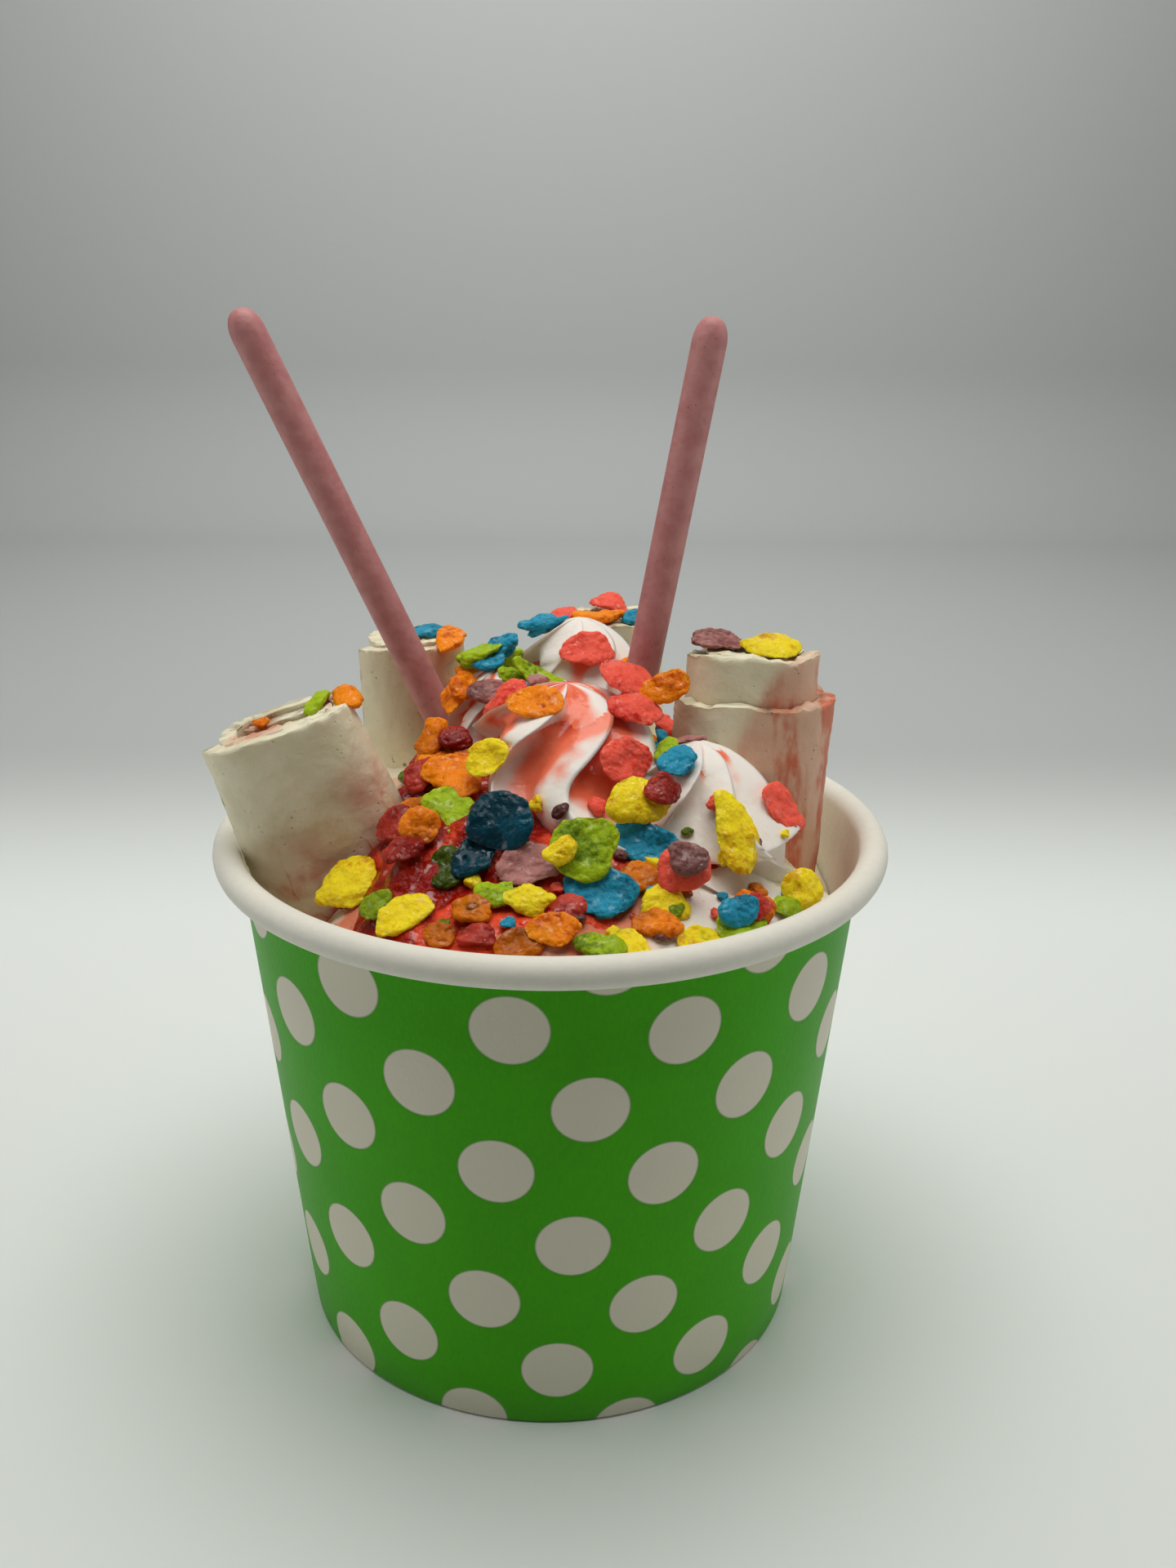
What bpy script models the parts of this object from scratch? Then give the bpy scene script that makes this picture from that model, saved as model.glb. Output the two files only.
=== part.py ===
"""A paper cup of rolled ice cream with whipped cream, strawberry sauce,
crisp coloured rice flakes and two pink coated biscuit sticks.

Metres, +Z up.  The origin is the centre of the cup's foot and the front of
the cup faces -Y.  Places and sizes in the tables are in millimetres.
"""

import math

import bmesh
import bpy
from mathutils import Matrix, Vector, noise
from mathutils.bvhtree import BVHTree

MM = 0.001
GAP = 0.35 * MM  # clearance between pieces that touch
MERGE = 0.00001

# The cup: a wrapped wall with a rolled rim, and a base disc set up inside it.
CUP_HEIGHT = 76.4 * MM
RIM_RADIUS = 48.5 * MM
CURL_RADIUS = 2.05 * MM
FOOT_RADIUS = 37.5 * MM
PAPER = 0.5 * MM
WALL_TOP_RADIUS = RIM_RADIUS - 2 * CURL_RADIUS + PAPER
FOLD_HEIGHT = 6.0 * MM
FOLD_WIDTH = 1.7 * MM
DISC_HEIGHT = 7.25 * MM
SKIRT_FOOT = 1.0 * MM
CURL_START, CURL_END, CURL_STEPS = 180, -120, 8
CUP_STEPS = 40

# The scraped sheets of ice cream, which stand in the cup as rolls.
SHEET = 2.3 * MM
SHEET_PITCH = SHEET + GAP
STEPS_PER_TURN = 18
SHEET_START = 200  # degrees: where each sheet ends, at the left of its roll
SQUARENESS = 2.2  # how flat the rolls are pressed on their broad sides
CRUMBLE = 0.9 * MM  # how uneven their scraped ends are
SHEET_ROWS = (0.0, 0.6, 0.82, 1.0)

# name, lower end, upper end, half width, half depth, turn of the broad side,
# turns of the sheet, drop of the outer turn's front, spread below the top
ROLLS = (
    ("roll_left", (-12.5, -6, 26), (-37.2, -9.5, 94.5), 11.4, 7.4, -4, 1.85, 0.5, 0.16),
    ("roll_back_left", (-19, 18.6, 11), (-21.6, 20.7, 98.5), 9.0, 7.6, 12, 1.85, 0.8, 0.0),
    ("roll_back", (11, 23, 10), (8.5, 28, 100.5), 10.0, 7.5, -6, 1.85, 0.8, 0.0),
    ("roll_right", (24.3, -3, 10), (29.2, 1, 100), 12.5, 8.8, 3, 2.35, 5.0, 0.0),
)

# name, tip, a point on its line where it goes into the food
STICKS = (
    ("stick_left", (-42.2, 5, 147), (-16.1, 11, 86.8)),
    ("stick_right", (21.8, 6, 146.5), (12.9, 6, 95.9)),
)
STICK_RADIUS = 2.43 * MM
STICK_LENGTH = 95 * MM
STICK_STEPS = 14

# The bed: ice cream that has sunk down between the rolls, with a pool of
# strawberry sauce over its front.
BED_FLOOR = 8.0 * MM
BED_RIM, BED_MOUND = 72.5, 16.5
BED_RINGS, BED_STEPS = 5, 28
SAUCE_DEPTH = 3.0 * MM
SAUCE_CENTRE = (-6, -21)
SAUCE_REACH, SAUCE_LOBES, SAUCE_RAGGED = 26, 5, 2
SAUCE_WIDE, SAUCE_SHORT = 1.15, 0.85
SAUCE_STEPS = 20

# Whipped cream piped through a star tip: centre of the base, peak, radius,
# bluntness of the dome, flutes, twist of the flutes in degrees
DOLLOPS = (
    ((2, -16, 66), (2, -4, 98), 15.5, 5.5, 9, 75),
    ((21, -19, 62), (20, -12, 92), 14.5, 3.2, 8, -60),
    ((4, 11, 68), (4, 16, 102.5), 12.5, 4, 8, 70),
    ((-8, 8, 65), (-8, 8, 97), 11, 4, 7, 60),
)
DOLLOP_ROWS = 7
FLUTE_DEPTH = 0.26

# The larger rice flakes, each dropped onto what lies under it, lowest first:
# colour, x, y, length, width, direction of the long side in degrees, and how
# far it is propped up towards the front, from 0 to 1
FLAKES = (
    ("yellow", -26, -21, 9.5, 8.0, 30, 0.4),
    ("yellow", -18, -34, 8.5, 5.5, 20, 0.2),
    ("orange", -15, -7, 9.5, 7.0, 10, 0.3),
    ("green", -13, -27, 6.5, 5.5, 80, 0.3),
    ("green", -13, -18, 9.5, 6.5, 115, 0.4),
    ("blue", -9, -26, 8.5, 5.0, 60, 0.3),
    ("yellow", -3, -34, 7.0, 4.5, -15, 0.3),
    ("purple", -3, -29, 8.5, 6.5, 10, 0.4),
    ("blue", -5, -23, 10.0, 8.0, -10, 0.3),
    ("orange", 0, -39, 7.0, 5.0, 0, 0.3),
    ("blue", 6, -32, 10.0, 7.5, -5, 0.5),
    ("green", 4, -26, 9.5, 9.0, 60, 0.4),
    ("blue", 13, -24, 10.5, 5.5, -35, 0.3),
    ("yellow", 14, -33, 7.0, 6.0, 40, 0.3),
    ("yellow", 18, -37, 7.0, 4.5, 20, 0.2),
    ("green", 23, -34, 7.0, 4.5, 25, 0.2),
    ("red", 18, -27, 7.5, 6.5, 30, 0.3),
    ("yellow", 23, -24, 12.0, 6.5, -60, 0.2),
    ("red", 30, -16, 8.5, 6.0, -25, 0.2),
    ("orange", 25, -31, 6.0, 5.5, 0, 0.3),
    ("yellow", 32, -24, 6.5, 6.0, 0, 0.4),
    ("red", 9, -15, 8.0, 7.0, 20, 0.2),
    ("yellow", 10, -20, 8.5, 7.0, 10, 0.1),
    ("red", 11, -8, 8.0, 7.0, 0, 0.3),
    ("red", 9, -3, 10.0, 9.0, 0, 0.3),
    ("orange", -2, -9, 9.5, 6.0, -10, 0.2),
    ("red", -6, -2, 8.0, 6.0, -20, 0.2),
    ("yellow", -8, -14, 6.5, 6.5, 0, 0.2),
    ("blue", 17, -16, 6.5, 5.5, 100, 0.0),
    ("purple", 18, -9, 7.5, 4.5, -25, 0.0),
    ("orange", 19, -3, 7.5, 5.0, 10, 0.5),
    ("orange", -15, 1, 7.5, 7.0, 50, 0.3),
    ("orange", -28, -9, 6.5, 4.5, 100, 0.2),
    ("orange", -11, 12, 7.5, 5.0, 95, 0.4),
    ("blue", -20, 22, 8.5, 5.5, -5, 0.0),
    ("green", -3, 6, 9.5, 4.5, -10, 0.2),
    ("green", -6, 14, 7.0, 6.0, 60, 0.0),
    ("blue", 0, 18, 7.5, 5.0, 0, 0.1),
    ("red", 5, 10, 8.5, 6.0, 10, 0.3),
    ("blue", 16, 11, 6.5, 4.0, 70, 0.0),
    ("red", 21, 9, 8.0, 6.0, 20, 0.2),
    ("purple", 23, 3, 8.5, 7.0, -10, 0.2),
    ("yellow", 31, 1, 9.5, 8.0, -10, 0.2),
    ("orange", 7, 24, 8.0, 5.0, 0, 0.0),
    ("red", 9, 31, 7.0, 5.0, -40, 0.3),
    ("yellow", -6, 30, 8.0, 6.5, 30, 0.0),
    ("green", 25, 22, 8.5, 6.0, -30, 0.0),
    ("orange", 22, 32, 7.5, 6.0, 60, 0.0),
    ("purple", -12, 37, 7.5, 6.0, 0, 0.0),
)
FLAKE_THICKNESS = 2.4 * MM
FLAKE_SIDES, FLAKE_ROWS = 9, 4
FACING_FRONT = Vector((0, -0.9, 0.45))
STEEPEST = 1.6  # slope of the steepest ground that a flake lies flat on
LIFT = 0.15 * MM
PROBE = 1.5 * MM  # how far about a place its ground is felt

# The smaller flakes, pressed into what they lie on.  They are tried along a
# golden-angle spiral, which spreads them evenly, until there are enough.
CRUMB_TRIES, CRUMB_COUNT = 110, 34
CRUMB_REACH = 41 * MM
CRUMB_LENGTH, CRUMB_SPREAD = 3.6 * MM, 2.2 * MM
GOLDEN_ANGLE = math.pi * (3 - math.sqrt(5))
CRUMB_SIDES, CRUMB_ROWS = 6, 3
CRUMB_THICKNESS = 1.8 * MM

COLOURS = {
    "paper_green": ((0.07, 0.40, 0.02), 0.5),
    "paper_white": ((0.86, 0.85, 0.80), 0.6),
    "ice_cream": ((0.84, 0.82, 0.64), 0.45),
    "whipped_cream": ((0.93, 0.89, 0.84), 0.4),
    "strawberry_sauce": ((0.72, 0.06, 0.03), 0.15),
    "biscuit_stick": ((0.60, 0.22, 0.24), 0.55),
    "flake_red": ((0.80, 0.06, 0.05), 0.35),
    "flake_orange": ((0.86, 0.25, 0.02), 0.35),
    "flake_yellow": ((0.80, 0.62, 0.03), 0.4),
    "flake_green": ((0.22, 0.48, 0.02), 0.35),
    "flake_blue": ((0.01, 0.18, 0.42), 0.35),
    "flake_purple": ((0.25, 0.12, 0.18), 0.45),
}


def millimetres(point):
    return Vector(point) * MM


def clear_scene():
    for old in list(bpy.data.objects):
        bpy.data.objects.remove(old)


def material(name):
    if name in bpy.data.materials:
        return bpy.data.materials[name]
    made = bpy.data.materials.new(name)
    made.use_nodes = True
    shader = made.node_tree.nodes["Principled BSDF"]
    colour, roughness = COLOURS[name]
    shader.inputs["Base Color"].default_value = (*colour, 1)
    shader.inputs["Roughness"].default_value = roughness
    made.diffuse_color = (*colour, 1)
    return made


# ----------------------------------------------------------- mesh helpers


def finish(bm, name, look, collection):
    """An object in its collection and its material, from a bmesh."""
    mesh = bpy.data.meshes.new(name)
    bm.to_mesh(mesh)
    bm.free()
    mesh.materials.append(material(look))
    made = bpy.data.objects.new(name, mesh)
    collection.objects.link(made)
    return made


def apply_modifiers(obj):
    bpy.context.view_layer.update()
    graph = bpy.context.evaluated_depsgraph_get()
    mesh = bpy.data.meshes.new_from_object(obj.evaluated_get(graph))
    obj.modifiers.clear()
    obj.data = mesh


def reshape(obj, moved):
    """Moves each point to where the function puts it, and splits bent faces."""
    bm = bmesh.new()
    bm.from_mesh(obj.data)
    for vert in bm.verts:
        vert.co = moved(vert.co.copy())
    bmesh.ops.triangulate(bm, faces=bm.faces)
    bm.to_mesh(obj.data)
    bm.free()


def smooth(obj, degrees=35):
    obj.data.shade_smooth()
    obj.data.set_sharp_from_angle(angle=math.radians(degrees))


def turned(name, profile, steps, look, collection):
    """A profile of (radius, height) points, turned about Z."""
    bm = bmesh.new()
    points = [bm.verts.new((radius, 0, height)) for radius, height in profile]
    for first, second in zip(points, points[1:]):
        bm.edges.new((first, second))
    made = finish(bm, name, look, collection)
    screw = made.modifiers.new("Screw", "SCREW")
    screw.steps = screw.render_steps = steps
    screw.use_merge_vertices = True
    screw.merge_threshold = MERGE
    return made


def solidify(obj, thickness):
    shell = obj.modifiers.new("Solidify", "SOLIDIFY")
    shell.thickness = thickness
    shell.offset = 0
    shell.use_even_offset = True


def raised(bm, outline, rows, closed):
    """Draws an outline of (x, y) points and extrudes it up through the rows."""
    points = [bm.verts.new((x, y, rows[0])) for x, y in outline]
    edges = [bm.edges.new(pair) for pair in zip(points, points[1:])]
    if closed:
        edges.append(bm.edges.new((points[-1], points[0])))
        bmesh.ops.contextual_create(bm, geom=edges)
    for low, high in zip(rows, rows[1:]):
        grown = bmesh.ops.extrude_edge_only(bm, edges=edges)["geom"]
        edges = [item for item in grown if isinstance(item, bmesh.types.BMEdge)]
        edges = [edge for edge in edges if len(edge.link_faces) < 2]
        verts = [item for item in grown if isinstance(item, bmesh.types.BMVert)]
        bmesh.ops.translate(bm, verts=verts, vec=(0, 0, high - low))
        edges = [edge for edge in edges if all(vert in verts for vert in edge.verts)]
    if closed:
        bmesh.ops.contextual_create(bm, geom=edges)
    bmesh.ops.recalc_face_normals(bm, faces=bm.faces)


def cutter(obj):
    obj.hide_render = True
    obj.display_type = "WIRE"
    return obj


def bodies(bm):
    """The faces of each separate body in the mesh, smallest body first."""
    left, found = set(bm.faces), []
    while left:
        queue = [left.pop()]
        body = []
        while queue:
            face = queue.pop()
            body.append(face)
            near = {other for edge in face.edges for other in edge.link_faces}
            queue += near & left
            left -= near
        found.append(body)
    return sorted(found, key=lambda body: sum(face.calc_area() for face in body))


def boolean(obj, others, operation="DIFFERENCE"):
    """Cuts or joins each of the others and drops the scraps that are left."""
    for other in others:
        step = obj.modifiers.new("Boolean", "BOOLEAN")
        step.operation = operation
        step.object = other
        apply_modifiers(obj)
    bm = bmesh.new()
    bm.from_mesh(obj.data)
    bmesh.ops.remove_doubles(bm, verts=bm.verts, dist=MERGE / 2)
    scraps = [face for body in bodies(bm)[:-1] for face in body]
    bmesh.ops.delete(bm, geom=scraps, context="FACES")
    bm.to_mesh(obj.data)
    bm.free()


# ---------------------------------------------------------------- the cup


def wall_radius(height):
    """Radius of the wall's outer face at a height."""
    share = height / (CUP_HEIGHT - CURL_RADIUS)
    return FOOT_RADIUS + (WALL_TOP_RADIUS - FOOT_RADIUS) * share


def room_radius(height):
    """How far out the contents may reach inside the wall's flat facets."""
    return (wall_radius(height) - PAPER) * math.cos(math.pi / CUP_STEPS) - GAP


def cup_wall(collection):
    """The blank, folded up under the base and curled outwards at the rim."""
    half = PAPER / 2
    profile = []
    centre_r, centre_z = RIM_RADIUS - CURL_RADIUS, CUP_HEIGHT - CURL_RADIUS
    for step in range(CURL_STEPS + 1):
        angle = math.radians(CURL_END + (CURL_START - CURL_END) * step / CURL_STEPS)
        radius = CURL_RADIUS - half
        profile.append(
            (centre_r + radius * math.cos(angle), centre_z + radius * math.sin(angle))
        )
    inside = FOLD_WIDTH + half
    profile += [
        (wall_radius(0) - half, half),
        (wall_radius(0) - inside, half),
        (wall_radius(FOLD_HEIGHT) - inside, FOLD_HEIGHT),
    ]
    made = turned("cup_wall", profile, CUP_STEPS, "paper_green", collection)
    solidify(made, PAPER)
    apply_modifiers(made)
    smooth(made)


def cup_base(collection):
    """The base disc, its skirt turned down between the wall and its fold."""
    back = PAPER + GAP + PAPER / 2
    profile = [
        (0, DISC_HEIGHT),
        (wall_radius(DISC_HEIGHT) - back, DISC_HEIGHT),
        (wall_radius(SKIRT_FOOT) - back, SKIRT_FOOT),
    ]
    made = turned("cup_base", profile, CUP_STEPS, "paper_white", collection)
    solidify(made, PAPER)
    apply_modifiers(made)
    smooth(made)


# --------------------------------------------------------- the rolled sheets


def roll_frame(foot, head, turn):
    """Local Z runs from foot to head, and local X along the broad side."""
    up = (head - foot).normalized()
    across = Vector((math.cos(math.radians(turn)), math.sin(math.radians(turn)), 0))
    across = (across - across.dot(up) * up).normalized()
    frame = Matrix((across, up.cross(across), up)).transposed().to_4x4()
    frame.translation = foot
    return frame


def spiral_point(half_width, half_depth, turn, outwards=0.0):
    """A point of the sheet's middle, its turns counted inwards from its end."""
    inset = SHEET / 2 + SHEET_PITCH * turn - outwards
    long, short = half_width * MM - inset, half_depth * MM - inset
    angle = math.tau * turn + math.radians(SHEET_START)
    along = math.tanh(SQUARENESS * math.cos(angle)) / math.tanh(SQUARENESS)
    return (long - short) * along + short * math.cos(angle), short * math.sin(angle)


def rolled_sheet(roll, collection, cutters):
    """The roll itself, and the sleeve that it keeps clear in what is round it."""
    name, foot, head, half_width, half_depth, turn, turns, drop, spread = roll
    foot, head = millimetres(foot), millimetres(head)
    frame, length = roll_frame(foot, head, turn), (head - foot).length

    def standing(co):
        wide = 1 + spread * min(1, (1 - co.z) / 0.3)
        return frame @ Vector((co.x * wide, co.y, co.z * length))

    def crumbled(co):
        if co.z > 0.99:
            nearest = min(range(steps + 1), key=lambda i: math.dist(line[i], co.xy))
            whole = max(0, min(1, (turns * nearest / steps - 0.34) / 0.16))
            bite = noise.noise(co * 330 + Vector((foot.x * 900, 0, 5)))
            co.z += (bite * CRUMBLE - drop * MM * (1 - whole)) / length
        return standing(co)

    steps = round(turns * STEPS_PER_TURN)
    line = [spiral_point(half_width, half_depth, turns * i / steps) for i in range(steps + 1)]
    bm = bmesh.new()
    raised(bm, line, SHEET_ROWS, closed=False)
    sheet = finish(bm, name, "ice_cream", collection)
    reshape(sheet, crumbled)
    solidify(sheet, SHEET)
    apply_modifiers(sheet)
    smooth(sheet, 50)

    reach = SHEET / 2 + 1.3 * GAP
    once_round = math.floor(steps / turns)
    outline = [
        spiral_point(half_width, half_depth, turns * i / steps, reach)
        for i in range(-1, once_round)
    ]
    bm = bmesh.new()
    raised(bm, outline, (-0.05, *SHEET_ROWS[1:-1], 1.06), closed=True)
    sleeve = finish(bm, "sleeve_" + name, "ice_cream", cutters)
    reshape(sleeve, standing)
    return cutter(sleeve)


# ------------------------------------------------------------- the sticks


def biscuit_stick(stick, collection, cutters):
    """A straight stick with a blunt dipped point, and its clearance."""
    name, tip, entry = stick
    tip, along = millimetres(tip), (millimetres(tip) - millimetres(entry)).normalized()
    point = ((0, 0), (0.22, 0.08), (0.55, 0.3), (0.88, 0.75), (1, 1.5))
    profile = [(STICK_RADIUS * r, STICK_LENGTH - STICK_RADIUS * h) for r, h in point]
    profile += [(STICK_RADIUS, 0), (0, 0)]
    wide = STICK_RADIUS + GAP
    clear = [(0, STICK_LENGTH + GAP), (wide, STICK_LENGTH + GAP), (wide, -GAP), (0, -GAP)]
    made = turned(name, profile, STICK_STEPS, "biscuit_stick", collection)
    sleeve = turned("sleeve_" + name, clear, STICK_STEPS, "biscuit_stick", cutters)
    frame = along.to_track_quat("Z", "Y").to_matrix().to_4x4()
    frame.translation = tip - along * STICK_LENGTH
    for each in (made, sleeve):
        apply_modifiers(each)
        reshape(each, lambda co: frame @ co)
    smooth(made)
    return cutter(sleeve)


# ------------------------------------------------------------ bed and sauce


def bed_level(x, y):
    """Height of the bed: a mound, lower by the wall at both sides and back."""
    x, y = x / MM, y / MM
    mound = BED_RIM + BED_MOUND * max(0, 1 - math.hypot(x, y) / 43) ** 0.8
    left = max(0, -x - 18) * 0.8 * max(0, 1 - abs(y + 14) / 30)
    right = max(0, x - 27) * 0.9 * max(0, 1 - abs(y - 2) / 26)
    back = max(0, y - 18) * 0.35
    ripple = 1.2 * noise.noise(Vector((x, y, 3)) * 0.11)
    return (mound - left - right - back + ripple) * MM


def bed_solid(name, look, collection, raise_by=0.0, shrink=0.0):
    """Fills the cup from its base up to the bed's level."""
    foot = room_radius(BED_FLOOR) - shrink
    brim = room_radius((BED_RIM - 1) * MM) - shrink
    profile = [(brim * (i / BED_RINGS) ** 0.85, 1) for i in range(BED_RINGS + 1)]
    profile += [(foot, BED_FLOOR), (0, BED_FLOOR)]
    made = turned(name, profile, BED_STEPS, look, collection)
    apply_modifiers(made)

    def levelled(co):
        if co.z > 0.5:
            co.z = bed_level(co.x, co.y) + raise_by
            room = (room_radius(co.z) - shrink) / max(co.xy.length, MM)
            co.xy *= min(1, room)
        return co

    reshape(made, levelled)
    return made


def sauce_outline(grow, cutters):
    """The sauce's edge seen from above: it pools at the front and the left."""
    outline = []
    for step in range(SAUCE_STEPS):
        angle = math.tau * step / SAUCE_STEPS
        lobes = SAUCE_LOBES * math.sin(angle * 3 + 1) + SAUCE_RAGGED * math.sin(angle * 5)
        reach = (SAUCE_REACH + lobes) * MM + grow
        x = SAUCE_CENTRE[0] * MM + SAUCE_WIDE * reach * math.cos(angle)
        y = SAUCE_CENTRE[1] * MM + SAUCE_SHORT * reach * math.sin(angle)
        outline.append((x, y))
    bm = bmesh.new()
    raised(bm, outline, (CUP_HEIGHT - 15 * MM, CUP_HEIGHT + 25 * MM), closed=True)
    return cutter(finish(bm, "sauce_outline", "strawberry_sauce", cutters))


# -------------------------------------------------------------------- cream


def dollop(place, collection):
    """A leaning dome with sharp flutes that twist on the way to its peak."""
    base, peak, radius, blunt, flutes, twist = place
    base, peak = millimetres(base), millimetres(peak)
    rows = [row / DOLLOP_ROWS for row in range(DOLLOP_ROWS)]
    profile = [(0, 1)]
    profile += [((1 - row ** blunt) ** 0.6, row) for row in reversed(rows)]
    profile += [(0, 0)]
    made = turned("whipped_cream", profile, flutes * 4, "whipped_cream", collection)
    apply_modifiers(made)

    def piped(co):
        angle = math.atan2(co.y, co.x)
        turn = angle - math.radians(twist) * co.z
        fluted = 1 - FLUTE_DEPTH * abs(math.sin(turn * flutes / 2))
        folds = 1 + 0.07 * math.cos(math.tau * 2.3 * co.z + angle)
        wide = Vector((co.x, co.y, 0)) * radius * MM * fluted * folds
        return base.lerp(peak, co.z) + wide

    reshape(made, piped)
    return made


# ------------------------------------------------------------------- flakes


def tree_of(obj):
    bm = bmesh.new()
    bm.from_mesh(obj.data)
    tree = BVHTree.FromBMesh(bm)
    bm.free()
    return tree


def top_of(ground, x, y):
    """The highest ground about a place, and the name of its piece."""
    found = [(BED_RIM * MM, "")]
    for aside, deep in ((0, 0), (1, 0), (-1, 0), (0, 1), (0, -1)):
        start = Vector((x + aside * PROBE, y + deep * PROBE, 2 * CUP_HEIGHT))
        for name, tree in ground.items():
            hit = tree.ray_cast(start, (0, 0, -1))[0]
            if hit:
                found.append((hit.z, name))
    return max(found)


def flake_mesh(number, size, sides, rows):
    """A ragged puffed flake, slightly bent, about its own centre."""
    bm = bmesh.new()
    bmesh.ops.create_uvsphere(bm, u_segments=sides, v_segments=rows, radius=0.5)
    place = Vector((number * 3.7, number * 1.3, 0))
    bend = 0.28 * math.sin(number * 2.4)
    for vert in bm.verts:
        co = vert.co
        ragged = 1 + 0.3 * noise.noise(co * 2.6 + place)
        flat = Vector((co.x * size.x, co.y * size.y)) * ragged
        rise = bend * (co.x ** 2 - co.y ** 2) * size.y
        vert.co = (*flat, co.z * size.z + rise)
    bmesh.ops.triangulate(bm, faces=bm.faces)
    bm.normal_update()
    bm.verts.index_update()
    return bm


def lying_frame(ground, x, y, span, turn, prop=0.0):
    """Local Z stands square on the ground there, and X along the turn."""
    height, host = top_of(ground, x, y)
    rises = []
    for step in (Vector((span, 0)), Vector((0, span))):
        ahead = top_of(ground, x + step.x, y + step.y)[0]
        behind = top_of(ground, x - step.x, y - step.y)[0]
        rises.append((ahead - behind) / (2 * span))
    slope = Vector((*rises, 0))
    slope *= min(1, STEEPEST / max(slope.length, MM))
    square = (Vector((0, 0, 1)) - slope).normalized()
    up = square.lerp(FACING_FRONT, prop).normalized()
    foot = Vector((x, y, height))
    return roll_frame(foot, foot + up, turn), square, host


def clear_of(bm, frame, trees):
    """Whether the flake, grown by the clearance, misses all the pieces."""
    points = [frame @ (vert.co + vert.normal * GAP) for vert in bm.verts]
    faces = [[vert.index for vert in face.verts] for face in bm.faces]
    probe = BVHTree.FromPolygons(points, faces)
    return not any(probe.overlap(tree) for tree in trees)


def drop_flakes(trees, ground, collection):
    """Each flake starts on the ground and is lifted until it is clear."""
    counts = {}
    for number, (colour, x, y, length, width, turn, prop) in enumerate(FLAKES):
        size = Vector((length * MM, width * MM, FLAKE_THICKNESS))
        frame, square, _ = lying_frame(ground, x * MM, y * MM, size.y / 3, turn, prop)
        frame.translation += square * size.z / 2
        bm = flake_mesh(number, size, FLAKE_SIDES, FLAKE_ROWS)
        lift = (square + Vector((0, 0, 0.3))).normalized() * LIFT
        while not clear_of(bm, frame, trees.values()):
            frame.translation += lift
        bm.transform(frame)
        counts[colour] = counts.get(colour, 0) + 1
        name = f"flake_{colour}_{counts[colour]}"
        flake = finish(bm, name, "flake_" + colour, collection)
        smooth(flake, 60)
        trees[name] = tree_of(flake)


def press_crumbs(pieces, trees, ground, cutters):
    """Joins each small flake to the piece it lies on, where it is clear."""
    pressed, count = {}, 0
    for number in range(CRUMB_TRIES):
        far = CRUMB_REACH * math.sqrt((number + 0.5) / CRUMB_TRIES)
        x, y = far * math.cos(number * GOLDEN_ANGLE), far * math.sin(number * GOLDEN_ANGLE)
        length = CRUMB_LENGTH + CRUMB_SPREAD * (number * 0.37 % 1)
        size = Vector((length, length * 0.75, CRUMB_THICKNESS))
        frame, square, host = lying_frame(ground, x, y, size.y / 3, number * 50)
        frame.translation += square * size.z * 0.2
        bm = flake_mesh(number, size, CRUMB_SIDES, CRUMB_ROWS)
        others = [tree for name, tree in trees.items() if name != host]
        if not host or count == CRUMB_COUNT or not clear_of(bm, frame, others):
            bm.free()
            continue
        bm.transform(frame)
        crumb = cutter(finish(bm, "crumb_" + str(number), "ice_cream", cutters))
        pressed.setdefault(host, []).append(crumb)
        count += 1
    for name, crumbs in pressed.items():
        boolean(pieces[name], crumbs, "UNION")
        for crumb in crumbs:
            bpy.data.objects.remove(crumb)


def main():
    clear_scene()
    scene = bpy.context.scene.collection
    parts = bpy.data.collections.new("cup_of_rolled_ice_cream")
    cutters = bpy.data.collections.new("cutters")
    scene.children.link(parts)
    scene.children.link(cutters)

    cup_wall(parts)
    cup_base(parts)
    sleeves = [rolled_sheet(roll, parts, cutters) for roll in ROLLS]
    sleeves += [biscuit_stick(stick, parts, cutters) for stick in STICKS]

    bed = bed_solid("ice_cream_bed", "ice_cream", parts)
    sauce = bed_solid("strawberry_sauce", "strawberry_sauce", parts)
    above = cutter(bed_solid("above_bed", "ice_cream", cutters, GAP, -GAP))
    under = cutter(bed_solid("under_sauce", "ice_cream", cutters, -SAUCE_DEPTH, -GAP))
    lower = cutter(bed_solid("lower_bed", "ice_cream", cutters, -SAUCE_DEPTH - GAP, -GAP))
    pool = sauce_outline(0, cutters)
    wide_pool = sauce_outline(GAP, cutters)
    boolean(sauce, [under, *sleeves])
    boolean(sauce, [pool], "INTERSECT")
    boolean(wide_pool, [lower])
    boolean(bed, [wide_pool, *sleeves])

    cream, *others = [dollop(place, parts) for place in DOLLOPS]
    boolean(cream, others, "UNION")
    for other in others:
        bpy.data.objects.remove(other)
    boolean(cream, [above, *sleeves])
    trees = {piece.name: tree_of(piece) for piece in parts.objects}
    aside = [stick[0] for stick in STICKS] + ["cup_wall", "cup_base"]
    ground = {name: tree for name, tree in trees.items() if name not in aside}
    drop_flakes(trees, ground, parts)
    press_crumbs(parts.objects, trees, ground, cutters)
    for each in (bed, sauce, cream):
        smooth(each, 40)


main()
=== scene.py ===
"""The finish of a paper cup of rolled ice cream, with whipped cream, strawberry
sauce, coloured rice flakes and two pink coated biscuit sticks.

Metres, +Z up.  The cup stands at the origin with its front towards -Y.  Sizes
with MM are written in millimetres.
"""

import math

import bpy
import numpy as np
from mathutils import Matrix, Quaternion, Vector, noise
from mathutils.bvhtree import BVHTree


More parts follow.
